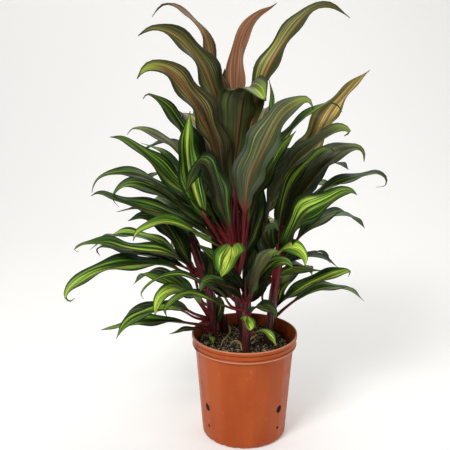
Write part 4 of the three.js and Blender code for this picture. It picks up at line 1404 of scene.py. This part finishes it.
@dataclass
class PottingSoil:
    """Potting mix that fills the pot, with crumbs, bark chips, pale fibre and surface roots on top."""

    pot: NurseryPot
    top: float = 228.0
    bump: float = 2.4
    slump: float = 14.0
    slump_from: float = 55.0
    slump_to: float = 110.0
    gap: float = 0.3
    rings: int = 70
    wall_rings: int = 8
    around: int = 240
    swell_mm: Point = (23.0, 19.0)
    small_swell_mm: Point = (11.0, 14.0)
    swell_phase: float = 1.3
    small_swell_share: float = 0.6
    scatter_depth: float = 10.0
    rough_fade: float = 4.0
    roughness: float = 0.65
    grains: tuple[Point, ...] = ((3.1, 0.4), (2.2, 1.9), (1.4, 3.3))
    ground_shade: float = 0.3
    root_radius: float = 2.7
    root_rise_share: float = 1.3
    node: str = "soil"
    slot: str = "potting_soil"
    roots: tuple[tuple[Point, ...], ...] = (
        ((229, 328), (230, 333), (227, 338), (223, 342), (221, 347)),
        ((231, 344), (236, 342), (240, 345), (242, 351)),
        ((256, 337), (252, 340), (249, 345), (249, 350)),
    )
    scatters: tuple[Scatter, ...] = (
        Scatter("soil_crumbs", PEAT, 3600, (1.4, 1.4, 1.2), (4.2, 4.0, 3.0), 3.1, 0.2, 11),
        Scatter("soil_bark_chips", BARK_CHIP, 700, (2.4, 1.6, 0.9), (8.5, 4.2, 2.2), 0.8, 0.5, 23),
        Scatter("soil_wood_fibre", WOOD_FIBRE, 380, (1.2, 0.9, 0.8), (6.5, 2.0, 1.6), 0.9, 0.6, 37),
    )

    def inner_radius(self, height: np.ndarray | float) -> np.ndarray | float:
        """Give the radius of the pot's inner wall at heights up to its shoulder."""
        low, high = self.pot.base_radius - self.pot.wall, self.pot.shoulder_radius - self.pot.wall
        return np.interp(height, (self.pot.floor, self.pot.shoulder), (low, high))

    def surface(self, x: np.ndarray, y: np.ndarray) -> np.ndarray:
        """Give the height of the soil's uneven top, which slumps away from the wall on the right.

        Args:
            x: Places across, in millimetres.
            y: Places in depth, in millimetres.

        Returns:
            The heights.
        """
        wide, deep = self.swell_mm
        small_wide, small_deep = self.small_swell_mm
        swell = np.sin(x / wide + self.swell_phase) * np.cos(y / deep)
        swell = swell + self.small_swell_share * np.sin(x / small_wide - y / small_deep)
        away = np.clip((x - self.slump_from) / (self.slump_to - self.slump_from), 0, 1)
        return self.top + self.bump * swell - self.slump * away**2 * (3 - 2 * away)

    def build(self) -> list[Piece]:
        """Build the soil, what lies on it and the roots, and seat them.

        Returns:
            The pieces.
        """
        ground = self.build_ground()
        pieces = [ground, *(self.build_scatter(ground, kind) for kind in self.scatters)]
        material = ROOT_SKIN.material()
        for number, root in enumerate(self.roots, 1):
            pieces.append(self.build_root(f"surface_root_{number}", root, material))
        for piece in pieces:
            seat(piece, self.node)
        return pieces

    def build_ground(self) -> Piece:
        """Build the body of the soil, closed below and at its side, with a rough top.

        Returns:
            The soil.
        """
        bottom = self.pot.floor + self.gap
        edge = self.inner_radius(self.top) - self.gap
        lowest = self.top - self.slump - 3 * self.bump
        wall = [(self.inner_radius(h) - self.gap, h) for h in np.linspace(bottom, lowest, self.wall_rings)]
        top = [(edge * (1 - k / self.rings), self.top) for k in range(self.rings)]
        section = np.array([(self.pot.middle, bottom), *wall, *top])
        points = turned(section, self.around)
        on_top = points[:, 2] > self.top - 0.1
        at_edge = self.surface(*points[on_top, :2].T * edge / np.hypot(*points[on_top, :2].T))
        points[on_top, :2] *= ((self.inner_radius(at_edge) - self.gap) / edge)[:, None]
        x, y = points[on_top, 0], points[on_top, 1]
        rough = sum(
            np.sin(x / size + phase) * np.sin(y / size * 1.1 + 2.1 * phase) for size, phase in self.grains
        )
        inner = np.clip((self.inner_radius(lowest) - np.hypot(x, y)) / self.rough_fade, 0, 1)
        points[on_top, 2] = self.surface(x, y) + self.roughness * rough * inner
        ground = mesh_piece("soil_body", points, tube_faces(len(section), self.around), PEAT.material())
        store(ground, "crumb_shade", np.full(len(points), self.ground_shade))
        return ground

    def build_scatter(self, ground: Piece, kind: Scatter) -> Piece:
        """Scatter one kind of loose matter over the soil.

        Args:
            ground: The soil's body.
            kind: What is scattered.

        Returns:
            The scattered matter as one mesh.
        """
        reach = (self.inner_radius(self.top) - self.gap - kind.largest[0]) * MM
        return run_tree(
            linked(kind.name, ground.data.copy()), scatter_tree(),
            density=kind.count / (math.pi * reach**2), reach=reach,
            lowest=(self.top - self.scatter_depth - self.slump) * MM,
            smallest=tuple(size * MM for size in kind.smallest),
            largest=tuple(size * MM for size in kind.largest), tilt=kind.tilt,
            sink=kind.sink * kind.smallest[2] * MM, seed=kind.seed, material=kind.finish.material(),
        )

    def build_root(self, name: str, picture: tuple[Point, ...], material: bpy.types.Material) -> Piece:
        """Build a surface root that lies on the soil along picture points.

        Args:
            name: The piece's name.
            picture: Picture points along the root.
            material: Its finish.

        Returns:
            The root.
        """
        places = []
        for point in picture:
            near, far = VIEW.spot(point, 0.0), VIEW.spot(point, 100.0)
            place = near + (far - near) * (self.top - near[2]) / (far[2] - near[2])
            place[2] = self.surface(place[0], place[1]) + self.root_rise_share * self.root_radius
            places.append(place)
        return run_tree(
            line_piece(name, places), rod_tree(),
            foot_radius=self.root_radius * MM, crown_radius=0.5 * self.root_radius * MM, material=material,
        )


@functools.cache
def scatter_tree() -> Tree:
    """Build the tree that strews crumbs over the upper faces of a mesh.

    Returns:
        The tree, made once and then shared.
    """
    steepest, raggedness = 0.3, 1.7
    tree, asked = new_tree(
        "Strewn Crumbs", density="Float", reach="Float", lowest="Float", smallest="Vector", largest="Vector",
        tilt="Float", sink="Float", seed="Int",
    )
    add = functools.partial(add_node, tree)
    place = add("GeometryNodeInputPosition")
    upward = add("ShaderNodeSeparateXYZ", (add("GeometryNodeInputNormal"),)).outputs[2]
    height = add("ShaderNodeSeparateXYZ", (place,)).outputs[2]
    level = add("ShaderNodeVectorMath", (place, LEVEL), operation="MULTIPLY")
    radius = add("ShaderNodeVectorMath", (level,), operation="LENGTH")
    tests = (
        (upward, "GREATER_THAN", steepest),
        (height, "GREATER_THAN", asked["lowest"]),
        (radius, "LESS_THAN", asked["reach"]),
    )
    faces_up, high, near = (add("FunctionNodeCompare", (a, b), operation=test) for a, test, b in tests)
    chosen = add("FunctionNodeBooleanMath", (faces_up, high), operation="AND")
    chosen = add("FunctionNodeBooleanMath", (chosen, near), operation="AND")
    strewn = add("GeometryNodeDistributePointsOnFaces", {
        "Mesh": asked["geometry"], "Selection": chosen, "Density": asked["density"], "Seed": asked["seed"],
    })

    # One crumb: a ball of twenty faces, pushed out of round
    ball = add("GeometryNodeMeshIcoSphere", {"Radius": 1.0, "Subdivisions": 1})
    ragged = add("ShaderNodeTexNoise", {"Vector": place, "Scale": raggedness, "Detail": 1.0}).outputs["Color"]
    pushed = add("ShaderNodeVectorMath", (ragged, (0.5, 0.5, 0.5)), operation="SUBTRACT")
    crumb = add("GeometryNodeSetPosition", {"Geometry": ball, "Offset": pushed})
    crumb = add("GeometryNodeSetShadeSmooth", {"Geometry": crumb, "Shade Smooth": False})

    size = add("FunctionNodeRandomValue", {
        0: asked["smallest"], 1: asked["largest"], "Seed": asked["seed"],
    }, data_type="FLOAT_VECTOR")
    spun = add("ShaderNodeCombineXYZ", (asked["tilt"], asked["tilt"], math.pi))
    back = add("ShaderNodeVectorMath", (spun, -1.0), operation="SCALE")
    turn = add("FunctionNodeRandomValue", {0: back, 1: spun, "Seed": asked["seed"]}, data_type="FLOAT_VECTOR")
    laid = add("GeometryNodeInstanceOnPoints", {
        "Points": strewn, "Instance": crumb, "Rotation": turn, "Scale": size,
    })
    down = add("ShaderNodeCombineXYZ", {2: product(tree, asked["sink"], -1.0)})
    sunken = add("GeometryNodeTranslateInstances", {
        "Instances": laid, "Translation": down, "Local Space": False,
    })
    shade = add("FunctionNodeRandomValue", {"Seed": asked["seed"]})
    shaded = add("GeometryNodeStoreNamedAttribute", {
        "Geometry": sunken, "Name": "crumb_shade", "Value": shade,
    }, data_type="FLOAT", domain="INSTANCE")
    return end_tree(tree, shaded, asked["material"])


CANES: dict[str, tuple[Place, ...]] = {
    "cane_main": ((-1, 12, 150), (-3, 8, 242), (-21, -8, 372), (-33, -16, 472), (-32, -18, 524)),
    "cane_front": ((3, -54, 150), (3, -54, 237), (2, -52, 347)),
    "cane_left": ((-73, 14, 150), (-75, 14, 237), (-81, 12, 312)),
    "cane_left_tall": ((-47, 62, 150), (-51, 62, 237), (-87, 60, 342), (-107, 58, 402)),
    "cane_right": ((67, 62, 150), (67, 62, 237), (69, 60, 297)),
    "cane_right_tall": ((55, 0, 150), (57, 2, 237), (75, 24, 372), (84, 30, 437)),
    "cane_back": ((11, 92, 150), (11, 92, 237), (5, 100, 392), (1, 98, 527)),
}

# Drawn leaves: name, colour, root height, Y of the tip, width, angle of the face to the eye in degrees, and
# the picture points that the rib passes. Grown leaves: name, colour, root height, azimuth, rise, fall,
# length and width.
DRAWN_LEAVES: dict[str, list[DrawnLeaf]] = {
    "cane_main": [
        DrawnLeaf("arching_brown", Tone.BROWN, 440, 60, 62, 66, ((236, 225), (228, 165), (224, 100),
            (213, 68), (206, 42), (201, 29), (188, 15), (175, 6), (166, 4), (158, 9), (152, 17)),
            stalk=0.26),
        DrawnLeaf("broad_top_left", Tone.OLIVE, 410, -60, 86, 54, ((236, 240), (230, 195), (219, 105),
            (211, 82), (201, 62), (189, 46), (176, 35), (163, 29), (152, 28), (145, 31), (138, 36)),
            stalk=0.34),
        DrawnLeaf("lime_tipped", Tone.BRONZE, 372, -150, 88, 54, ((236, 262), (230, 215), (218, 153),
            (210, 128), (199, 106), (188, 91), (178, 79), (168, 70), (158, 66), (150, 66), (143, 70),
            (137, 79)), stalk=0.38),
        DrawnLeaf("dark_left", Tone.DARK, 395, -40, 78, 58, ((235, 250), (228, 215), (200, 160), (187, 136),
            (176, 119), (165, 106), (152, 96), (147, 94), (143, 99)), stalk=0.32),
        DrawnLeaf("centre_broad", Tone.DUSKY, 366, -150, 108, 165, ((239, 262), (238, 225), (233, 172),
            (236, 140), (238, 119), (240, 101), (244, 89), (251, 84), (259, 90), (266, 101)), twist=45,
            fullest=0.5, stalk=0.36, bend=(0.86, -35)),
        DrawnLeaf("tall_right", Tone.OLIVE, 410, -20, 62, 46, ((241, 240), (244, 195), (252, 120), (262, 80),
            (268, 66), (277, 50), (288, 34), (298, 21), (308, 11), (320, 6), (332, 6), (341, 11), (350, 18)),
            stalk=0.34),
        DrawnLeaf("right_centre", Tone.GREY, 372, -200, 90, 34, ((241, 262), (244, 222), (247, 182),
            (256, 159), (266, 139), (275, 122), (286, 109), (297, 102), (306, 99), (311, 102), (313, 110)),
            fullest=0.38, stalk=0.38),
        DrawnLeaf("narrow_right", Tone.GREEN, 400, 60, 50, 64, ((242, 248), (248, 215), (262, 170),
            (276, 147), (290, 130), (305, 116), (318, 107), (328, 103), (337, 105), (342, 112)), stalk=0.3),
        DrawnLeaf("streaked_centre", Tone.GREEN, 376, -60, 62, 53, ((243, 258), (248, 226), (255, 195),
            (266, 176), (277, 157), (287, 142), (296, 131)), stalk=0.4),
        DrawnLeaf("droop_front", Tone.LIME, 469, -195, 76, 30, ((232, 244), (230, 254), (226, 266),
            (221, 278)), fullest=0.36, stalk=0.14),
        DrawnLeaf("lime_left", Tone.LIME, 465, -190, 50, 66, ((218, 245), (205, 238), (190, 228), (175, 223),
            (160, 222), (147, 226), (137, 232), (133, 241)), stalk=0.13),
        DrawnLeaf("left_curled", Tone.GREEN, 472, -30, 64, 60, ((210, 228), (190, 213), (175, 202),
            (160, 192), (145, 186), (132, 184), (121, 187), (114, 194), (113, 200), (119, 207)), stalk=0.13),
        DrawnLeaf("left_low", Tone.DARK, 467, -60, 68, 58, ((212, 236), (190, 223), (165, 213), (145, 208),
            (128, 203), (113, 197), (103, 193), (97, 193), (91, 196)), stalk=0.13),
        DrawnLeaf("long_left", Tone.DARK, 477, -110, 60, 74, ((212, 222), (195, 208), (175, 196), (160, 186),
            (148, 178), (135, 174), (118, 173), (105, 175), (97, 180), (93, 187), (92, 193)), stalk=0.13),
        DrawnLeaf("vivid_left", Tone.GREEN, 482, -130, 76, 57, ((208, 210), (190, 194), (175, 182),
            (163, 171), (152, 161), (141, 151), (130, 143), (120, 138), (110, 137)), stalk=0.13),
        DrawnLeaf("grey_left", Tone.GREY, 485, 40, 60, 60, ((212, 200), (195, 175), (183, 157), (172, 145),
            (160, 137), (150, 132), (140, 129), (132, 129), (127, 135)), stalk=0.13),
        DrawnLeaf("small_left", Tone.GREEN, 474, 120, 52, 63, ((210, 215), (190, 182), (175, 164),
            (162, 152), (150, 146), (141, 143)), stalk=0.13),
        DrawnLeaf("lime_upright", Tone.STRIPED, 420, -150, 62, 22, ((230, 258), (219, 238), (204, 215),
            (193, 188), (187, 155), (187, 132), (190, 111)), stalk=0.36),
        DrawnLeaf("shaded_bend", Tone.DARK, 384, -190, 72, 45, ((234, 262), (228, 225), (216, 185),
            (208, 166), (201, 162), (194, 170), (188, 185), (184, 198)), stalk=0.34),
        DrawnLeaf("inner_left", Tone.DARK, 405, 60, 70, 50, ((234, 245), (225, 212), (210, 180), (200, 160),
            (188, 140), (178, 128)), stalk=0.3),
        DrawnLeaf("fill_low_left", Tone.DARK, 335, 45, 84, 28, ((234, 300), (226, 290), (219, 277),
            (216, 260)), stalk=0.16),
        DrawnLeaf("fill_low_right", Tone.DARK, 335, 40, 76, 28, ((249, 302), (254, 288), (256, 268),
            (254, 247)), stalk=0.16),
        DrawnLeaf("fill_mid_right", Tone.DARK, 420, 80, 76, 30, ((246, 245), (252, 225), (257, 202),
            (263, 180)), stalk=0.16),
        DrawnLeaf("fill_mid_left", Tone.DARK, 415, 20, 80, 30, ((229, 245), (219, 225), (212, 205),
            (209, 180)), stalk=0.16),
    ],
    "cane_front": [
        DrawnLeaf("lime_front", Tone.LIME, 330, -140, 42, 35, ((247, 314), (248, 322), (250, 331))),
        DrawnLeaf("lime_right_low", Tone.LIME, 274, -90, 30, 55, ((255, 332), (263, 331), (271, 337),
            (277, 347))),
        DrawnLeaf("thin_left", Tone.GREEN, 332, -150, 34, 74, ((232, 306), (222, 293), (210, 286),
            (198, 280), (185, 275), (172, 275), (160, 278), (150, 283), (143, 290), (141, 295), (144, 299)),
            stalk=0.16),
        DrawnLeaf("short_left", Tone.GREEN, 334, -210, 38, 70, ((232, 308), (215, 301), (203, 296),
            (190, 294), (178, 297), (170, 303), (165, 310), (167, 317)), stalk=0.16),
        DrawnLeaf("front_fan_left", Tone.DARK, 341, -120, 52, 50, ((238, 290), (224, 284), (212, 280),
            (204, 283), (200, 293)), stalk=0.16),
        DrawnLeaf("front_rise_left", Tone.DARK, 343, -70, 56, 50, ((242, 288), (230, 274), (215, 260),
            (204, 250), (196, 243)), stalk=0.16),
        DrawnLeaf("front_rise_centre", Tone.DARK, 343, -70, 46, 50, ((240, 298), (232, 284), (224, 270),
            (219, 256)), stalk=0.16),
        DrawnLeaf("front_rise_right", Tone.GREEN, 342, -110, 54, 50, ((254, 288), (264, 271), (276, 262),
            (287, 262), (294, 269)), stalk=0.16),
        DrawnLeaf("front_fan_right", Tone.GREY, 341, -130, 58, 50, ((251, 288), (257, 272), (264, 260),
            (272, 252), (279, 250)), stalk=0.16),
        DrawnLeaf("front_low_right", Tone.DARK, 312, -130, 38, 50, ((256, 306), (266, 307), (274, 312),
            (276, 320)), stalk=0.16),
    ],
    "cane_left": [
        DrawnLeaf("low_long", Tone.STRIPED, 267, -60, 56, 63, ((197, 324), (182, 322), (165, 320),
            (150, 321), (130, 324), (115, 327), (101, 330))),
        DrawnLeaf("low_droop", Tone.GREEN, 280, -130, 56, 63, ((195, 317), (180, 309), (165, 308),
            (148, 312), (135, 318), (125, 326), (116, 339))),
        DrawnLeaf("low_back", Tone.DARK, 285, 60, 54, 60, ((195, 314), (180, 307), (160, 306), (143, 309),
            (130, 313), (123, 320))),
        DrawnLeaf("tiny_left", Tone.DARK, 262, -60, 22, 60, ((198, 328), (188, 329), (178, 332),
            (169, 334))),
        DrawnLeaf("tiny_front", Tone.LIME, 256, -50, 18, 50, ((210, 335), (212, 339), (213, 344))),
        DrawnLeaf("lime_hook", Tone.LIME, 291, -190, 48, 64, ((200, 302), (190, 293), (178, 290), (168, 292),
            (160, 298), (156, 308), (155, 316))),
        DrawnLeaf("inner_upright", Tone.DARK, 262, 30, 42, 30, ((216, 320), (219, 308), (219, 294)),
            stalk=0.14),
    ],
    "cane_left_tall": [
        DrawnLeaf("hanging_dark", Tone.DARK, 392, -60, 56, 30, ((205, 262), (209, 254), (211, 264),
            (209, 290)), stalk=0.15),
        DrawnLeaf("striped_left", Tone.STRIPED, 357, -90, 54, 58, ((192, 295), (178, 288), (165, 281),
            (152, 276), (141, 274)), stalk=0.15),
        DrawnLeaf("great_left", Tone.STRIPED, 375, -60, 70, 58, ((185, 272), (165, 264), (140, 263),
            (115, 266), (95, 271), (80, 280), (69, 290), (66, 298), (70, 301), (75, 298)), stalk=0.15),
        DrawnLeaf("far_left", Tone.GREEN, 340, -10, 60, 62, ((194, 276), (185, 262), (165, 252), (145, 250),
            (125, 247), (108, 243), (92, 243), (80, 245), (74, 250), (79, 252)), stalk=0.22),
        DrawnLeaf("second_left", Tone.DARK, 379, 80, 56, 66, ((182, 266), (160, 257), (140, 253), (125, 250),
            (110, 247), (100, 247), (97, 250), (100, 256)), stalk=0.15),
        DrawnLeaf("lime_inner", Tone.LIME, 385, 140, 50, 60, ((185, 262), (175, 256), (162, 251),
            (148, 249)), stalk=0.15),
        DrawnLeaf("red_rib", Tone.DARK, 296, 30, 72, 50, ((203, 302), (195, 278), (186, 256), (177, 241),
            (168, 227), (154, 218), (140, 216), (128, 221)), stalk=0.36),
        DrawnLeaf("left_shade", Tone.DARK, 320, 120, 62, 55, ((203, 292), (199, 265), (190, 240), (182, 222),
            (170, 208), (158, 202)), stalk=0.34),
    ],
    "cane_right": [
        DrawnLeaf("low_right", Tone.STRIPED, 276, 0, 64, 57, ((276, 306), (284, 299), (295, 291), (307, 284),
            (320, 279), (335, 274), (346, 271), (350, 272), (348, 277)), stalk=0.18),
        DrawnLeaf("long_right", Tone.STRIPED, 291, 60, 48, 64, ((262, 300), (266, 286), (278, 277),
            (290, 272), (302, 270), (325, 271)), stalk=0.18),
        DrawnLeaf("stub_right", Tone.GREEN, 286, 20, 34, 50, ((279, 300), (283, 289), (291, 281)),
            stalk=0.18),
    ],
    "cane_right_tall": [
        DrawnLeaf("gold_back", Tone.GOLD, 384, 150, 84, 48, ((277, 262), (281, 228), (303, 158), (315, 138),
            (325, 120), (335, 105), (347, 92), (358, 80), (370, 70)), stalk=0.32),
        DrawnLeaf("grey_hook", Tone.GREY, 384, -140, 64, 62, ((269, 262), (265, 230), (274, 190), (287, 170),
            (300, 154), (315, 143), (328, 133), (337, 128), (345, 128), (350, 132), (344, 136)), stalk=0.3),
        DrawnLeaf("dark_right", Tone.GREEN, 356, -30, 60, 60, ((273, 288), (276, 250), (285, 195),
            (298, 172), (312, 158), (324, 149), (331, 149), (334, 151)), stalk=0.34),
        DrawnLeaf("grey_right", Tone.GREY, 350, 0, 84, 52, ((274, 290), (279, 255), (290, 210), (300, 193),
            (309, 180), (319, 168), (329, 158), (339, 151), (350, 148), (358, 148), (363, 153), (364, 162)),
            stalk=0.34),
        DrawnLeaf("curl_right", Tone.GREEN, 360, 20, 54, 68, ((276, 282), (282, 254), (300, 215), (312, 200),
            (325, 189), (340, 182), (355, 177), (367, 174), (378, 173), (386, 179), (385, 186), (376, 187)),
            stalk=0.28),
        DrawnLeaf("lime_right", Tone.GREEN, 340, -110, 86, 53, ((275, 292), (280, 266), (287, 242),
            (294, 226), (304, 213), (317, 206), (330, 199), (343, 192), (352, 191), (357, 195)), stalk=0.28),
        DrawnLeaf("lime_hang", Tone.LIME, 397, -140, 42, 50, ((278, 252), (290, 247), (299, 250), (305, 258),
            (305, 267)), stalk=0.17),
        DrawnLeaf("narrow_low", Tone.DARK, 390, 100, 36, 70, ((268, 280), (276, 268), (288, 262), (300, 257),
            (310, 253), (318, 251), (325, 254), (330, 263)), stalk=0.17),
        DrawnLeaf("lime_tip_centre", Tone.DARK, 410, -130, 60, 40, ((272, 250), (266, 236), (268, 226),
            (275, 224), (279, 232)), stalk=0.17),
    ],
    "cane_back": [
        DrawnLeaf("orange_back", Tone.COPPER, 516, 200, 60, 140, ((238, 150), (236, 100), (237, 75),
            (239, 50), (244, 34), (252, 21), (262, 12), (270, 8), (277, 3))),
        DrawnLeaf("green_back", Tone.GREEN, 502, 180, 44, 70, ((258, 180), (270, 130), (273, 103), (271, 88),
            (268, 76))),
        DrawnLeaf("brown_back", Tone.DARK, 506, 260, 44, 60, ((224, 140), (220, 100), (222, 80), (226, 70),
            (231, 88))),
        DrawnLeaf("fill_back_left", Tone.DARK, 330, 75, 80, 25, ((236, 275), (226, 250), (216, 225),
            (206, 205)), stalk=0.16),
        DrawnLeaf("fill_back_right", Tone.DARK, 330, 80, 80, 25, ((250, 275), (258, 250), (262, 225),
            (262, 200)), stalk=0.16),
    ],
}

GROWN_LEAVES: dict[str, list[GrownLeaf]] = {
    "cane_main": [
        GrownLeaf("rear_left_high", Tone.OLIVE, 506, 212, 80, 25, 440, 84),
    ],
    "cane_front": [],
    "cane_left": [
        GrownLeaf("rear_low_left", Tone.GREEN, 277, 235, 50, 55, 300, 58),
    ],
    "cane_left_tall": [
        GrownLeaf("rear_mid_left", Tone.GREEN, 381, 215, 62, 50, 380, 66),
        GrownLeaf("rear_reach_left", Tone.STRIPED, 369, 245, 40, 50, 380, 64),
        GrownLeaf("fill_left", Tone.DARK, 388, 255, 70, 30, 300, 60),
    ],
    "cane_right": [
        GrownLeaf("rear_low_right", Tone.GREEN, 271, 150, 50, 60, 300, 58),
        GrownLeaf("side_low_right", Tone.STRIPED, 261, 110, 40, 55, 300, 58),
    ],
    "cane_right_tall": [
        GrownLeaf("rear_right_high", Tone.DARK, 431, 140, 72, 40, 420, 78),
        GrownLeaf("side_right_mid", Tone.GREEN, 413, 125, 50, 55, 340, 68),
    ],
    "cane_back": [
        GrownLeaf("top_one", Tone.OLIVE, 520, 165, 80, 30, 430, 84),
        GrownLeaf("top_two", Tone.BRONZE, 512, 205, 76, 35, 470, 88),
        GrownLeaf("top_three", Tone.DARK, 496, 245, 72, 40, 400, 80),
        GrownLeaf("top_four", Tone.DARK, 488, 118, 70, 45, 380, 80),
        GrownLeaf("mid_one", Tone.GREY, 470, 175, 60, 45, 430, 82),
        GrownLeaf("mid_two", Tone.GREEN, 454, 232, 54, 45, 420, 76),
        GrownLeaf("mid_three", Tone.STRIPED, 442, 130, 52, 50, 400, 76),
        GrownLeaf("mid_four", Tone.GREEN, 422, 195, 42, 60, 390, 70),
        GrownLeaf("low_one", Tone.STRIPED, 398, 158, 34, 60, 370, 64),
        GrownLeaf("low_two", Tone.LIME, 382, 222, 30, 60, 350, 62),
        GrownLeaf("low_side_right", Tone.DARK, 342, 104, 40, 50, 280, 56),
        GrownLeaf("low_three", Tone.GREEN, 346, 185, 28, 65, 320, 56),
    ],
}


@dataclass(frozen=True)
class SoftLight:
    """One soft studio light: where it hangs, how wide it is and how strong."""

    name: str
    place: Place
    width: float
    watts: float


@dataclass
class Studio:
    """A pale sweep of paper, soft lights and the camera, in metres."""

    half_width: float = 4.0
    front: float = -3.0
    bend_from: float = 1.6
    bend_radius: float = 1.4
    bend_steps: int = 24
    wall_top: float = 4.0
    surround: float = 0.34
    sensor_mm: float = 36.0
    aim: Place = (-0.02, 0.05, 0.5)
    lights: tuple[SoftLight, ...] = (
        SoftLight("key", (-1.3, -2.0, 2.5), 1.0, 66.0),
        SoftLight("fill", (2.0, -1.7, 1.3), 1.6, 8.0),
        SoftLight("back", (0.6, 1.5, 2.6), 1.4, 22.0),
    )

    def build(self) -> None:
        """Build the paper, the lights and the camera."""
        self.build_sweep()
        self.build_lights()
        self.build_camera()

    def build_sweep(self) -> None:
        """Lay the paper: a level floor that bends up into a wall behind."""
        bend = [
            (self.bend_from + self.bend_radius * math.sin(a), self.bend_radius * (1 - math.cos(a)))
            for a in np.linspace(0, math.pi / 2, self.bend_steps)
        ]
        line = [(self.front, 0.0), *bend, (self.bend_from + self.bend_radius, self.wall_top)]
        points = [(side * self.half_width, y, z) for y, z in line for side in (-1, 1)]
        faces = [[2 * k, 2 * k + 1, 2 * k + 3, 2 * k + 2] for k in range(len(line) - 1)]
        sweep = mesh_piece("paper_sweep", np.array(points) / MM, faces, MattPaper().material())

    def build_lights(self) -> None:
        """Hang the lights, each turned to the middle of the plant, in an even pale surround."""
        world = bpy.data.worlds.new("pale studio")
        world.use_nodes = True
        ground = world.node_tree.nodes["Background"]
        ground.inputs["Color"].default_value = linear("#ffffff")
        ground.inputs["Strength"].default_value = self.surround
        bpy.context.scene.world = world
        for asked in self.lights:
            light = bpy.data.lights.new(asked.name, "AREA")
            light.size = asked.width
            light.energy = asked.watts
            holder = linked(asked.name, light)
            holder.location = asked.place
            aim = np.array(self.aim) - np.array(asked.place)
            flat = math.hypot(aim[0], aim[1])
            holder.rotation_euler = (math.atan2(flat, -aim[2]), 0.0, math.atan2(aim[1], aim[0]) - math.pi / 2)

    def build_camera(self) -> None:
        """Set the camera where the photograph was taken from."""
        data = bpy.data.cameras.new("camera")
        data.sensor_fit = "HORIZONTAL"
        data.sensor_width = self.sensor_mm
        data.lens = data.sensor_width * VIEW.focal / VIEW.picture
        camera = linked("camera", data)
        camera.location = [v * MM for v in VIEW.eye]
        camera.rotation_euler = (math.radians(90 - VIEW.pitch_degrees), 0.0, 0.0)
        bpy.context.scene.camera = camera


def main() -> None:
    """Build the studio, the pot, the soil and every leafy stem, and report each piece."""
    logging.basicConfig(level=logging.INFO, format="%(name)s: %(message)s")
    bpy.context.scene.view_settings.view_transform = "Standard"
    Studio().build()
    pot = NurseryPot(MouldedPolypropylene().material())
    pieces = [pot.build(), *PottingSoil(pot).build()]
    finishes = {tone: tone.value.material() for tone in Tone}
    skin = StalkSkin().material()
    for node, line in CANES.items():
        leaves = [*DRAWN_LEAVES[node], *GROWN_LEAVES[node]]
        pieces += LeafyStem(Cane(node, line), leaves, finishes, skin).build()
    for piece in pieces:
        log.info("%s: %d faces", piece.name, len(piece.data.polygons))


if __name__ == "__main__":
    main()
